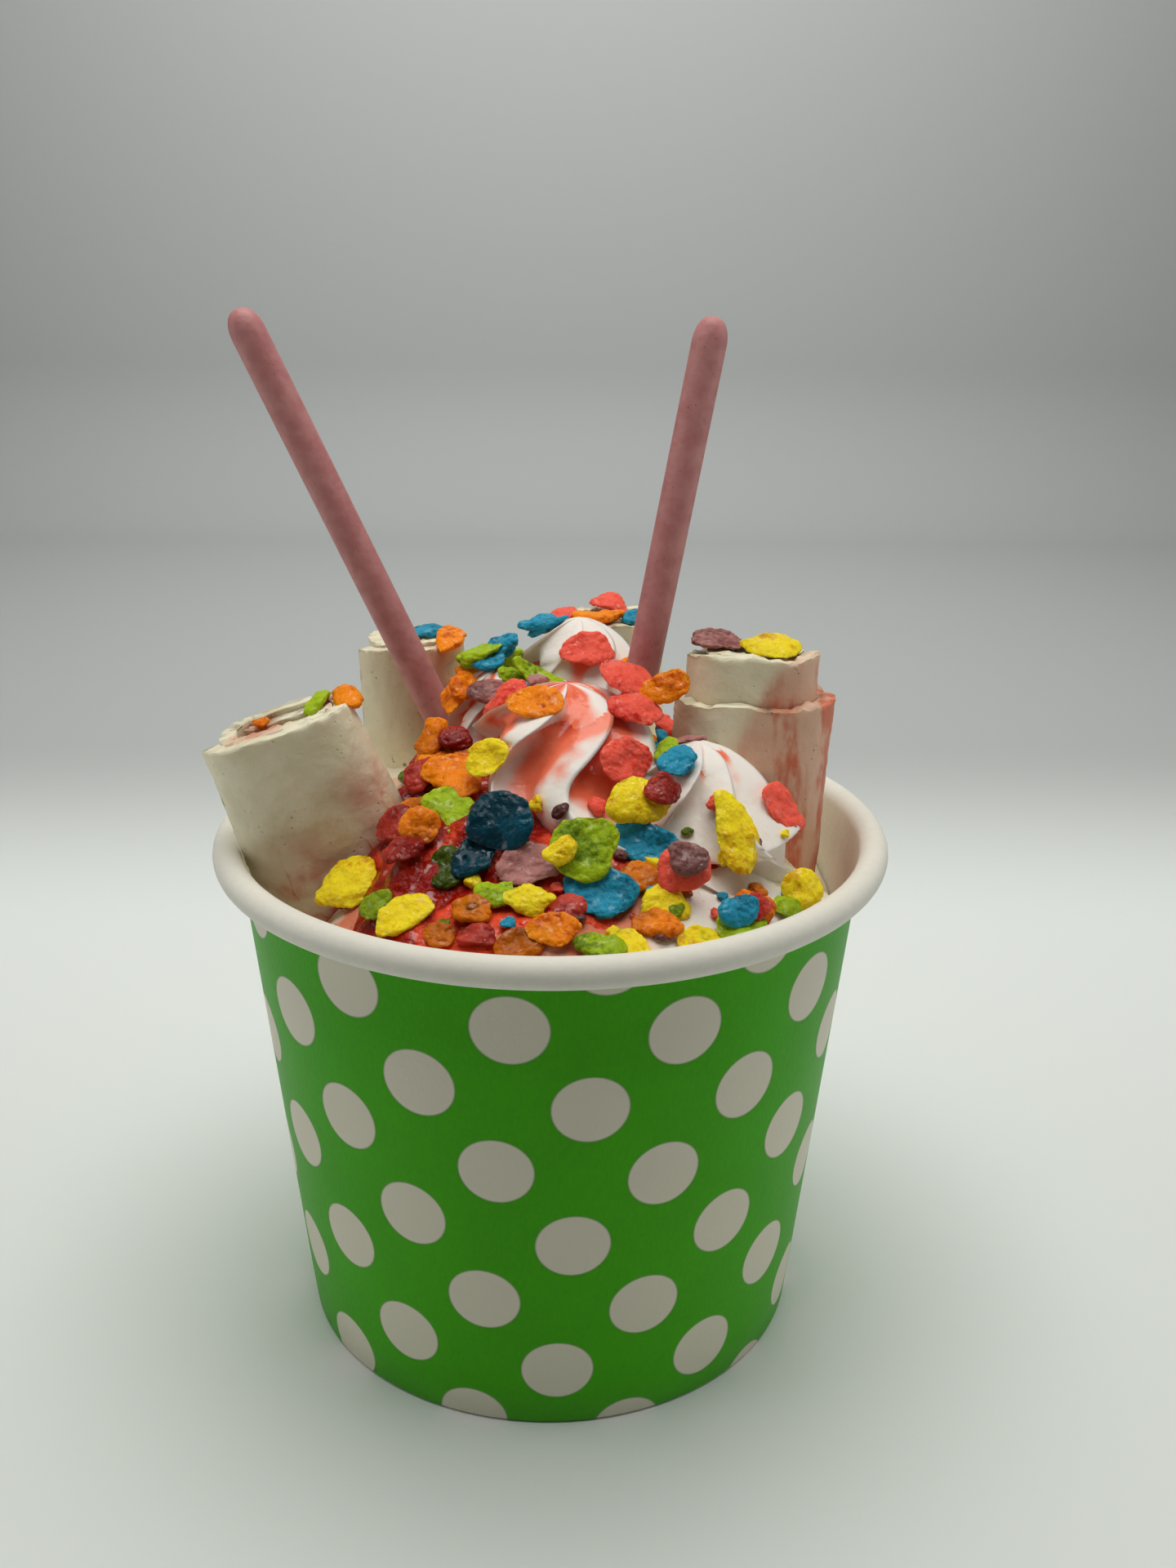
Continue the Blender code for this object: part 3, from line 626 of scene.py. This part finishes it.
rings = [(SHUT, BED_FLOOR), (room_at(BED_FLOOR), BED_FLOOR)]
for step in range(BED_RINGS + 1):
    radius = room_at(BED_RIM * MM) * (1 - step / BED_RINGS) ** 0.9 + SHUT
    rings.append((radius, BED_RIM * MM))
bed = draw_up("ice_cream_bed_filling", rings, BED_SIDES)
move_points(bed, sunk)
close_middle(bed)
bpy.ops.object.shade_smooth()
look = ice_cream_finish("bed_ice_cream", BED_STAINS, creamed=((26, -36, 71), 17))
bed.data.materials.append(look)
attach(bed, "root")
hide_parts("ice_cream_bed")

# ----------------------------------------------------------- strawberry sauce
# Wet fruit sauce with lumps of pulp, spooned over the front and running down
# between the flakes to the rim.

SAUCE_MIDDLE, HEAP_MIDDLE, HEAP_SPREAD = (-6, -21), (-19, -20), 110
SAUCE_FRONT = (2 * MM, -44 * MM, 76 * MM)  # where it is thin and lighter
SAUCE_REACH, SAUCE_LOBES, SAUCE_RAGGED = 26, 5, 2
SAUCE_WIDE, SAUCE_SHORT, SAUCE_DEPTH = 1.15, 0.85, 2.5
SAUCE_SIDES, SAUCE_RINGS, SAUCE_FLOOR_RINGS = 200, 60, 6
SAUCE_RED = (0.28, 0.004, 0.0)
SAUCE_LIGHT = (0.86, 0.075, 0.022)
PULP_SIZE, PULP_HEIGHT = 4.4, 1.9


def sauce_edge(angle):
    """How far the pool reaches from its middle in that direction."""
    lobes = SAUCE_LOBES * math.sin(angle * 3 + 1) + SAUCE_RAGGED * math.sin(angle * 5)
    return (SAUCE_REACH + lobes) * MM


def pooled(co):
    """Spreads a drum of radius and height 1 over the bed as the pool of sauce."""
    angle, share, upper = math.atan2(co.y, co.x), co.xy.length, co.z > 0.5
    reach = sauce_edge(angle) * share
    x = SAUCE_MIDDLE[0] * MM + SAUCE_WIDE * reach * math.cos(angle)
    y = SAUCE_MIDDLE[1] * MM + SAUCE_SHORT * reach * math.sin(angle)
    level = bed_level(x, y)
    low = inside_wall(x, y, level - SAUCE_DEPTH * MM)
    if not upper:
        return low
    place = Vector((low.x, low.y, 0))
    off_x, off_y = low.x / MM - HEAP_MIDDLE[0], low.y / MM - HEAP_MIDDLE[1]
    heap = math.exp(-(off_x ** 2 + off_y ** 2) / HEAP_SPREAD)
    near = noise.voronoi(place / (PULP_SIZE * MM))[0][0]
    pulp = PULP_HEIGHT * (0.25 + heap) * max(0, 1 - 1.7 * near * near)
    ripple = noise.noise(place / (3.2 * MM)) * 0.6 + noise.noise(place / (1.3 * MM)) * 0.25
    skin = (0.6 + ripple + pulp + 1.6 * heap) * (1 - share ** 8) - SAUCE_DEPTH * share ** 8
    return Vector((low.x, low.y, level + skin * MM))


rings = [(SHUT, 0)] + [(step / SAUCE_FLOOR_RINGS, 0) for step in range(1, SAUCE_FLOOR_RINGS + 1)]
rings += [((1 - step / SAUCE_RINGS) + SHUT, 1) for step in range(SAUCE_RINGS + 1)]
sauce = draw_up("strawberry_sauce_pool", rings, SAUCE_SIDES)
move_points(sauce, pooled)
close_middle(sauce)
bpy.ops.object.shade_smooth()
syrup, shader, place = finish(
    "strawberry_syrup", Roughness=0.14, Coat_Roughness=0.05, Specular_IOR_Level=0.15,
    Subsurface_Weight=0.2, Subsurface_Scale=1.5 * MM, Subsurface_Radius=(1, 0.25, 0.12),
)
front = place.away_from(SAUCE_FRONT).between(26 * MM, 10 * MM)
thinner = (place.rough(4.0 * MM, 3.0) + front * 0.22).between(0.48, 0.72)
wear(shader, "Base Color", thinner.blend(SAUCE_RED, SAUCE_LIGHT))
emboss(shader, place.rough(1.2 * MM, 4.0), 0.8 * MM)
wear(shader, "Coat Weight", place.rough(1.4 * MM, 3.0).between(0.52, 0.64))
sauce.data.materials.append(syrup)
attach(sauce, "root")
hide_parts("strawberry_sauce")

# ------------------------------------------------------------- whipped cream
# Cream piped through a star tip in short twisted swirls.  Its crests are thin
# and white, and sauce has run down into the folds between them.

CREAM_RINGS, CREAM_STEPS = 150, 44  # down the swirl, and across each flute
STEM, STEM_CURVE = 0.985, 1.35
SWAY_LENGTH, LEDGE_LIP, CREST_LEAN, SAG = 1.15, 0.13, 0.22, 1.6
CREAM_WHITE = (0.90, 0.84, 0.76)
CREAM_CORAL = (0.95, 0.20, 0.10)
CREAM_RED = (0.50, 0.010, 0.002)

# base, peak, radius, bluntness of the dome, flutes, their depth, their twist
# and sway in degrees, coils, depth of the coils' ledges, and how much sauce
SWIRLS = {
    "front": ((2, -16, 66), (2, -4, 98), 15.5, 5.5, 6, 0.36, 25, 50, 2.2, 0.34, 0.85),
    "right": ((21, -19, 62), (20, -12, 92), 14.6, 3.2, 7, 0.30, -45, 45, 2.8, 0.36, 0.28),
    "back": ((4, 11, 68), (4, 16, 102.5), 12.5, 4, 6, 0.28, 30, 40, 2.4, 0.28, 0.25),
    "left": ((-8, 8, 65), (-8, 8, 97), 11, 4, 7, 0.3, 20, 40, 2.0, 0.18, 0.6),
}


def swirl(name, base, peak, radius, blunt, flutes, groove, twist, sway, coils, ledge, sauced):
    """A ball drawn out into a leaning dome with swaying flutes and ledges."""
    deselect()
    bpy.ops.mesh.primitive_uv_sphere_add(segments=flutes * CREAM_STEPS, ring_count=CREAM_RINGS)
    made = bpy.context.object
    made.name = "swirl_" + name
    base, peak = Vector(base) * MM, Vector(peak) * MM
    folds = made.data.attributes.new("fold", "FLOAT", "POINT")
    fold_values = []

    def piped(co):
        down = math.acos(max(-1, min(1, co.z))) / math.pi
        if down > STEM:
            fold_values.append(0)
            return base + Vector((co.x, co.y, 0)) * MM
        height = 1 - (down / STEM) ** STEM_CURVE
        turn = math.atan2(co.y, co.x)
        around = Vector((math.cos(turn), math.sin(turn), 0))
        drift = noise.noise(around * 1.3 + Vector((0, 0, height * 2.6)) + base * 400)
        swing = math.radians(sway) * math.sin(math.tau * (1 - height) / SWAY_LENGTH)
        angle = turn + math.radians(twist) * height - swing - 0.4 * drift
        valley = abs(math.sin(turn * flutes / 2))
        crest = (1 - valley) ** 3
        teeth = noise.noise(around * 3.2 + Vector((0, 0, height * 8)) + base * 90)
        depth = groove * (0.8 + 0.5 * noise.noise(around * 1.7 + base * 300))
        coil = ((1 - height) * coils + angle / math.tau + 1 + 0.05 * math.sin(turn * flutes)) % 1
        jut = coil ** 1.4 * min(1, (1 - coil) / LEDGE_LIP)
        fluted = 1 - depth * valley ** 0.75 + (0.04 + 0.09 * teeth) * crest
        layered = ledge * (jut - 0.42) * min(1, (1 - height) / 0.25)
        profile = (1 - height ** blunt) ** 0.6
        angle += CREST_LEAN * crest
        wide = Vector((math.cos(angle), math.sin(angle), 0))
        fold_values.append(valley * 0.8 + 0.5 * math.exp(-coil / 0.12))
        drop = Vector((0, 0, -SAG * MM * jut * (1 - height)))
        return base.lerp(peak, height) + drop + wide * (radius * MM * profile * (fluted + layered))

    move_points(made, piped)
    folds.data.foreach_set("value", fold_values)
    add_modifier(made, "SMOOTH", factor=0.5, iterations=2)
    bpy.ops.object.shade_smooth()

    look, shader, place = finish(
        "whipped_cream_" + name, Specular_IOR_Level=0.4, Subsurface_Weight=0.3,
        Subsurface_Scale=1.2 * MM, Subsurface_Radius=(1, 0.75, 0.6),
    )
    fold = place.node("Attribute", {"attribute_name": "fold"}, {}, "Fac")
    patch = place.rough(8 * MM, 2.0)
    amount = fold * 0.75 + patch * 1.1 - (1.30 - 0.65 * sauced)
    thin, thick = amount.between(0.0, 0.28), amount.between(0.42, 0.75)
    wear(shader, "Base Color", thick.blend(thin.blend(CREAM_WHITE, CREAM_CORAL), CREAM_RED))
    wear(shader, "Roughness", 0.5 - thin * 0.34)
    emboss(shader, place.rough(1.2 * MM, 3.0), 0.12 * MM)
    made.data.materials.append(look)
    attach(made, "root")
    return made


swirls = [swirl(name, *sizes) for name, sizes in SWIRLS.items()]
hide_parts("whipped_cream")

# ----------------------------------------------------------------- rice flakes
# Flakes of puffed rice in six colours.  They are thin, bent and knobbly, they
# lie on the cream, the rolls and each other, and the sauce has wetted them.

FLAKE_LOOKS = {
    "red": ((0.60, 0.012, 0.006), (0.92, 0.12, 0.075)),
    "orange": ((0.55, 0.09, 0.0), (0.98, 0.27, 0.004)),
    "yellow": ((0.60, 0.27, 0.0), (0.95, 0.72, 0.015)),
    "green": ((0.11, 0.19, 0.0), (0.37, 0.52, 0.010)),
    "blue": ((0.0, 0.07, 0.12), (0.02, 0.30, 0.46)),
    "purple": ((0.18, 0.05, 0.045), (0.46, 0.20, 0.18)),
}
SOAKED = ("flake_blue_2", "flake_blue_1", "flake_orange_1", "flake_green_1")
FLAKE_THICKNESS = 1.7
LUMP_SIZE, LUMP_RISE = 3.4 * MM, 1.3 * MM
BUBBLE, BUBBLE_RISE = 0.7, 0.15

# Flakes between the larger ones and on them: colour, x, y, length, width,
# turn of the long side in degrees, and how soaked each is
LOOSE_FLAKES = (
    ("green", -17, -3, 7.0, 4.5, 120, 0.6),
    ("red", -15, 3, 8.0, 5.0, 40, 0.9),
    ("orange", -17, -22, 6.5, 6.0, 0, 0.5),
    ("red", -21, -17, 7.0, 6.0, 60, 0.9),
    ("red", -19, -26, 6.5, 5.5, 20, 0.9),
    ("orange", -12, -13, 8.5, 6.0, 80, 0.4),
    ("purple", -9, -19, 5.0, 4.0, 30, 0.9),
    ("orange", -10, -35, 6.5, 4.5, -30, 0.6),
    ("green", -7, -33, 7.0, 4.5, 10, 0.2),
    ("orange", -4, -40, 8.0, 5.5, 15, 0.8),
    ("green", 6, -42, 8.0, 5.0, -5, 0.3),
    ("red", 2, -35, 6.0, 5.0, 50, 0.8),
    ("orange", 11, -29, 7.0, 5.5, 60, 0.6),
    ("orange", 13, -36, 7.5, 5.0, -20, 0.5),
    ("purple", 17, -31, 6.5, 5.5, 10, 0.6),
    ("yellow", 10, -40, 8.0, 3.5, -60, 0.2),
    ("blue", 25, -37, 6.5, 5.0, 30, 0.4),
    ("green", 31, -29, 5.5, 4.5, 0, 0.5),
    ("red", 27, -34, 5.0, 4.0, 40, 0.7),
    ("blue", -9, 8, 6.0, 4.5, 20, 0.3),
    ("blue", -3, 3, 4.5, 3.5, 0, 0.0),
    ("purple", -5, 1, 5.0, 3.0, -40, 0.1),
    ("green", 16, -12, 5.5, 4.5, 60, 0.3),
    ("red", 14, -22, 6.0, 5.5, 0, 0.9),
    ("green", -22, -31, 6.0, 4.5, 70, 0.7),
    ("orange", -14, -38, 5.5, 4.5, 10, 0.8),
    ("red", -9, -39, 6.0, 4.0, -15, 0.9),
    ("yellow", 1, -31, 5.5, 4.0, 35, 0.3),
    ("green", -31.5, -9, 6.5, 3.0, 60, 0.1),
    ("orange", -40, -8, 2.6, 2.0, 0, 0.3),
    ("red", 17, 12, 7.0, 4.5, -20, 0.3),
    ("orange", 13, 16, 6.0, 4.5, 30, 0.2),
    ("yellow", -2, 24, 6.0, 4.5, 0, 0.1),
    ("red", 2, 26, 6.5, 4.0, 50, 0.2),
    ("blue", 14, 24, 6.5, 4.0, -10, 0.1),
    ("orange", -10, 20, 7.0, 5.0, 30, 0.2),
    ("green", -9, 17, 8.0, 6.5, 30, 0.1),
    ("green", -11, 12, 7.5, 4.0, 0, 0.1),
    ("blue", -2, 18, 8.0, 4.5, -10, 0.1),
    ("green", -3, 11, 9.5, 4.0, -15, 0.1),
    ("orange", -14, 5, 7.5, 5.0, 95, 0.3),
    ("blue", 15, 7, 6.5, 3.5, 60, 0.0),
    ("blue", 9, 20, 7.0, 4.0, 20, 0.0),
    ("orange", 14, 8, 6.5, 4.5, 80, 0.2),
    ("purple", -2, 1, 4.5, 3.0, 30, 0.0),
    ("orange", -17, 0, 7.0, 5.5, 60, 0.5),
    ("red", -18, -8, 7.0, 4.5, 70, 0.8),
    ("orange", -14, -9, 10.0, 7.5, 20, 0.4),
    ("orange", -16, -3, 8.0, 6.5, 50, 0.2),
    ("orange", -19, -14, 6.5, 5.5, 0, 0.6),
    ("red", 19, 6, 8.5, 5.5, 20, 0.3),
    ("green", 28, 9, 5.0, 3.5, 0, 0.1),
    ("orange", 12, 12, 6.5, 4.0, 60, 0.2),
    ("blue", 15, 3, 7.0, 3.5, 70, 0.2),
    ("orange", -15.5, 17.5, 9.0, 5.5, 80, 0.2),
    ("blue", -7, 12, 6.5, 4.5, 10, 0.1),
    ("red", -20, -4, 7.5, 5.5, 30, 0.9),
    ("green", -20, 1, 7.5, 4.5, 100, 0.7),
    ("red", -18, 5, 7.0, 5.0, 60, 0.9),
    ("green", -10, 9, 7.0, 5.0, 20, 0.1),
    ("orange", -13, 5, 8.0, 5.0, 80, 0.2),
    ("green", -5, 7, 8.5, 4.0, -10, 0.1),
    ("purple", -9, 3, 7.5, 5.5, -20, 0.5),
    ("blue", -7, 11, 6.0, 4.5, 10, 0.1),
    ("red", -14, -1, 6.0, 5.0, 10, 0.9),
    ("orange", -12, -5, 6.5, 5.0, 45, 0.5),
)
CRUMB_TRIES, CRUMB_REACH, CRUMB_SHARE = 300, 41.5, 0.3
CRUMB_FRONT, CRUMB_SIDE = -20, 34
CRUMB_LENGTH, CRUMB_SPREAD = 1.4, 2.2
GOLDEN_ANGLE = math.pi * (3 - math.sqrt(5))
SETTLE_LIMIT, PRESSED = 4.5 * MM, 0.6 * MM


def flake_finish(colour):
    """Puffed rice of one colour: powdery where dry, dark and glossy where soaked."""
    dark, light = FLAKE_LOOKS[colour]
    made, shader, place = finish(
        f"{colour}_flake", Specular_IOR_Level=0.1, Coat_Roughness=0.08,
        Subsurface_Weight=0.45, Subsurface_Scale=1.2 * MM, Subsurface_Radius=(1, 0.7, 0.4),
    )
    soaked = place.node("Attribute", {"attribute_name": "soaked"}, {}, "Fac")
    soaked = (soaked + place.rough(6 * MM, 1.0) - 0.5).between(0.2, 1.1)
    tone = place.rough(7 * MM, 1.0) * 0.6 + place.rough(0.9 * MM, 3.0) * 0.5
    colours = tone.between(0.34, 0.57).blend(dark, light)
    powder = place.rough(0.5 * MM, 3.0).between(0.50, 0.72) * (1 - soaked) * 0.04
    colours = powder.blend(colours, tuple(0.5 + 0.45 * part for part in light))
    colours = (soaked * 0.95).blend(colours, tuple(part * 0.3 for part in dark))
    wear(shader, "Base Color", colours)
    glints = place.rough(1.2 * MM, 2.0).between(0.54, 0.66)
    wear(shader, "Coat Weight", glints * 0.6 + soaked * 0.15)
    wear(shader, "Roughness", 0.34 - soaked * 0.14)
    emboss(shader, place.rough(0.45 * MM, 4.0), 0.22 * MM)
    return made


def thinned(points, number):
    """Dishes a flake's middle, bends it, and gives it a lobed outline."""
    middle = points.mean(axis=0)
    offsets = points - middle
    axes = np.linalg.svd(offsets, full_matrices=False)[2]
    local = offsets @ axes.T
    half_sizes = np.abs(local).max(axis=0)
    a, b, c = (local / half_sizes).T
    out = np.minimum(a * a + b * b, 1)
    angle = np.arctan2(b, a)
    lobes = 1.12 + 0.08 * np.sin(3 * angle + number) + 0.07 * np.sin(5 * angle + number * 2.3)
    thin = 0.50 + 0.42 * out
    bend = 0.4 * math.sin(number * 1.7) * (a * a - b * b) + 0.3 * math.cos(number * 2.9) * a * b
    cup = 0.55 * (out - 0.5)
    shaped = np.stack([a * lobes, b * lobes, c * thin + bend + cup], axis=1) * half_sizes
    return shaped @ axes + middle


def puff_up(piece):
    """Rounds the coarse flakes and covers them with small bubbles and pits."""
    add_modifier(piece, "SUBSURF", levels=3, render_levels=3)
    roughen(piece, LUMP_SIZE, LUMP_RISE)
    surface = [(vert.co.copy(), vert.normal.copy()) for vert in piece.data.vertices]
    risen = []
    for co, normal in surface:
        bubble = noise.voronoi(co / (BUBBLE * MM))[0][0]
        blister = noise.voronoi(co / (2.2 * BUBBLE * MM))[0][0]
        pit = noise.voronoi(co / (3.1 * BUBBLE * MM))[0][0]
        rise = BUBBLE_RISE * math.sqrt(max(0, 1 - (bubble / 0.7) ** 2))
        rise += BUBBLE_RISE * math.sqrt(max(0, 1 - (blister / 0.75) ** 2))
        rise -= 2 * BUBBLE_RISE * max(0, 1 - pit / 0.16)
        risen.extend(co + normal * (rise - BUBBLE_RISE) * MM)
    piece.data.vertices.foreach_set("co", risen)
    piece.data.update()
    bpy.ops.object.shade_smooth()


def set_soaked(piece, amount):
    """Records how wet a flake is, for its material."""
    soaked = piece.data.attributes.new("soaked", "FLOAT", "POINT")
    soaked.data.foreach_set("value", [amount] * len(piece.data.vertices))


def cad_flakes(colour):
    """A thinned copy of each flake of that colour, and the nodes' names."""
    deselect()
    nodes = [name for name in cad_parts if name.startswith("flake_" + colour)]
    copies = []
    for number, name in enumerate(sorted(nodes)):
        copy = bpy.data.objects.new("flakes_" + colour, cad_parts[name].data.copy())
        bpy.context.scene.collection.objects.link(copy)
        copy.data.materials.clear()
        copy.select_set(True)
        bpy.context.view_layer.objects.active = copy
        bpy.ops.object.mode_set(mode="EDIT")
        bpy.ops.mesh.select_all(action="SELECT")
        bpy.ops.mesh.remove_doubles(threshold=0.01 * MM)
        bpy.ops.object.mode_set(mode="OBJECT")
        points = np.array([vert.co for vert in copy.data.vertices])
        copy.data.vertices.foreach_set("co", thinned(points, number).ravel())
        set_soaked(copy, 1.0 if name in SOAKED else 0.0)
        copies.append(copy)
        deselect()
    return copies, nodes


def loose_flake(number, colour, place, up, length, width, turn, soaked):
    """A ragged flake of its own, pressed slightly into what it lies on."""
    deselect()
    bpy.ops.mesh.primitive_uv_sphere_add(segments=9, ring_count=4, radius=0.5)
    made = bpy.context.object
    made.name = "flakes_" + colour
    size = Vector((length, width, min(FLAKE_THICKNESS, 0.6 * width))) * MM
    placed = standing_frame(place + up * size.z * 0.4, place + up, turn)
    seed = Vector((number * 3.7, number * 1.3, 0))

    def ragged(co):
        uneven = 1 + 0.6 * noise.noise(co * 2.6 + seed)
        curl = 1.2 * math.sin(number * 2.4) * (co.x ** 2 - co.y ** 2) + 0.8 * co.xy.length_squared
        return placed @ (Vector((co.x * uneven, co.y * uneven, co.z + curl)) * size)

    move_points(made, ragged)
    set_soaked(made, soaked)
    return made


def surface_tree(piece):
    """A piece's faces, ready to be hit by rays."""
    points = [vert.co for vert in piece.data.vertices]
    faces = [tuple(face.vertices) for face in piece.data.polygons]
    return BVHTree.FromPolygons(points, faces)


soft_trees = [surface_tree(piece) for piece in [bed, sauce, *swirls, *sheets]]
flake_trees = []


def settle(piece):
    """Lowers a flake that stands clear, until it is pressed into what is below."""
    trees, own = soft_trees + flake_trees, surface_tree(piece)
    if not any(tree.overlap(own) for tree in trees):
        falls = [SETTLE_LIMIT]
        for vert in piece.data.vertices:
            for tree in trees:
                hit = tree.ray_cast(vert.co, Vector((0, 0, -1)))[0]
                if hit:
                    falls.append(vert.co.z - hit.z)
        fall = Vector((0, 0, min(falls) + PRESSED))
        move_points(piece, lambda co: co - fall)
    flake_trees.append(surface_tree(piece))


def ground_at(x, y, trees):
    """The highest surface under a place, and which way it faces."""
    share = min(1, CRUMB_REACH / math.hypot(x, y))
    start, found = Vector((x * share, y * share, 150)) * MM, []
    for tree in trees:
        hit, normal = tree.ray_cast(start, Vector((0, 0, -1)))[:2]
        if hit:
            found.append((hit.z, hit, normal))
    return max(found, key=lambda each: each[0])[1:]


large_flakes = {colour: cad_flakes(colour) for colour in FLAKE_LOOKS}
settling = [copy for copies, nodes in large_flakes.values() for copy in copies]
for copy in sorted(settling, key=lambda each: min(vert.co.z for vert in each.data.vertices)):
    settle(copy)

loose_flakes = {colour: [] for colour in FLAKE_LOOKS}
for number, (colour, x, y, length, width, turn, soaked) in enumerate(LOOSE_FLAKES):
    where, up = ground_at(x, y, soft_trees + flake_trees)
    up = (up + Vector((0, -0.5, 0.5))).normalized()
    made = loose_flake(number, colour, where, up, length, width, turn, soaked)
    settle(made)
    loose_flakes[colour].append(made)

crumb_colours = list(FLAKE_LOOKS)
for number in range(CRUMB_TRIES):
    far = CRUMB_REACH * math.sqrt((number + 0.5) / CRUMB_TRIES)
    x, y = far * math.cos(number * GOLDEN_ANGLE), far * math.sin(number * GOLDEN_ANGLE)
    if y >= CRUMB_FRONT or abs(x) >= CRUMB_SIDE or number * 0.618 % 1 > CRUMB_SHARE:
        continue
    colour = crumb_colours[number * 5 % len(crumb_colours)]
    where, up = ground_at(x, y, soft_trees)
    up = (up + Vector((0, 0, 0.5))).normalized()
    length = CRUMB_LENGTH + CRUMB_SPREAD * (number * 0.37 % 1)
    wet = 0.8 if number % 2 else 0.2
    made = loose_flake(number, colour, where, up, length, length * 0.75, number * 50, wet)
    loose_flakes[colour].append(made)

for colour in FLAKE_LOOKS:
    copies, nodes = large_flakes[colour]
    deselect()
    for copy in copies + loose_flakes[colour]:
        copy.select_set(True)
    bpy.context.view_layer.objects.active = copies[0]
    bpy.ops.object.join()
    joined = bpy.context.object
    joined.name = "flakes_" + colour
    puff_up(joined)
    joined.data.materials.append(flake_finish(colour))
    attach(joined, "root")
    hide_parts(*nodes)

# -------------------------------------------------------------- biscuit sticks
# Thin baked sticks dipped in pink strawberry coating, which is matt, has tiny
# dark specks and ends in a blunt point.  They are pushed in between the rolls.

STICK_RADIUS, STICK_LENGTH = 2.43 * MM, 95 * MM
STICK_SIDES, STICK_STEPS, TIP_STEPS = 40, 30, 16
COATING_DULL, COATING_PINK = (0.50, 0.19, 0.185), (0.57, 0.245, 0.235)
COATING_SPECK = (0.16, 0.04, 0.05)
# each stick's tip, and where it enters the cream
STICKS = {
    "stick_left": ((-42.2, 5, 147), (-16.1, 11, 86.8)),
    "stick_right": ((21.8, 6, 146.5), (12.9, 6, 95.9)),
}
coating, shader, place = finish("pink_coating", Roughness=0.5, Specular_IOR_Level=0.4)
pink = place.rough(2.5 * MM, 3.0).between(0.35, 0.65).blend(COATING_DULL, COATING_PINK)
specks = place.cells(0.8 * MM).between(0.16, 0.1) * place.rough(1.3 * MM, 1.0).between(0.52, 0.6)
wear(shader, "Base Color", (specks * 0.6).blend(pink, COATING_SPECK))
emboss(shader, place.rough(0.8 * MM, 3.0) + place.rough(4 * MM, 1.0), 0.1 * MM)
for name, (tip, entry) in STICKS.items():
    tip, entry = Vector(tip) * MM, Vector(entry) * MM
    rings = [(SHUT, 0), (STICK_RADIUS, 0)]
    rings += [(STICK_RADIUS, STICK_LENGTH * step / STICK_STEPS) for step in range(1, STICK_STEPS - 1)]
    for step in range(1, TIP_STEPS + 1):
        angle = math.pi / 2 * step / TIP_STEPS
        radius = STICK_RADIUS * math.cos(angle) ** 0.8 + SHUT
        rings.append((radius, STICK_LENGTH - 1.5 * STICK_RADIUS * (1 - math.sin(angle))))
    stick = draw_up(name + "_coated", rings, STICK_SIDES)
    close_middle(stick)
    along = (tip - entry).normalized()
    turned = along.to_track_quat("Z", "Y").to_matrix()
    start = tip - along * STICK_LENGTH
    move_points(stick, lambda co: start + turned @ co)
    bpy.ops.object.shade_smooth()
    stick.data.materials.append(coating)
    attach(stick, "root")
    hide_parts(name)
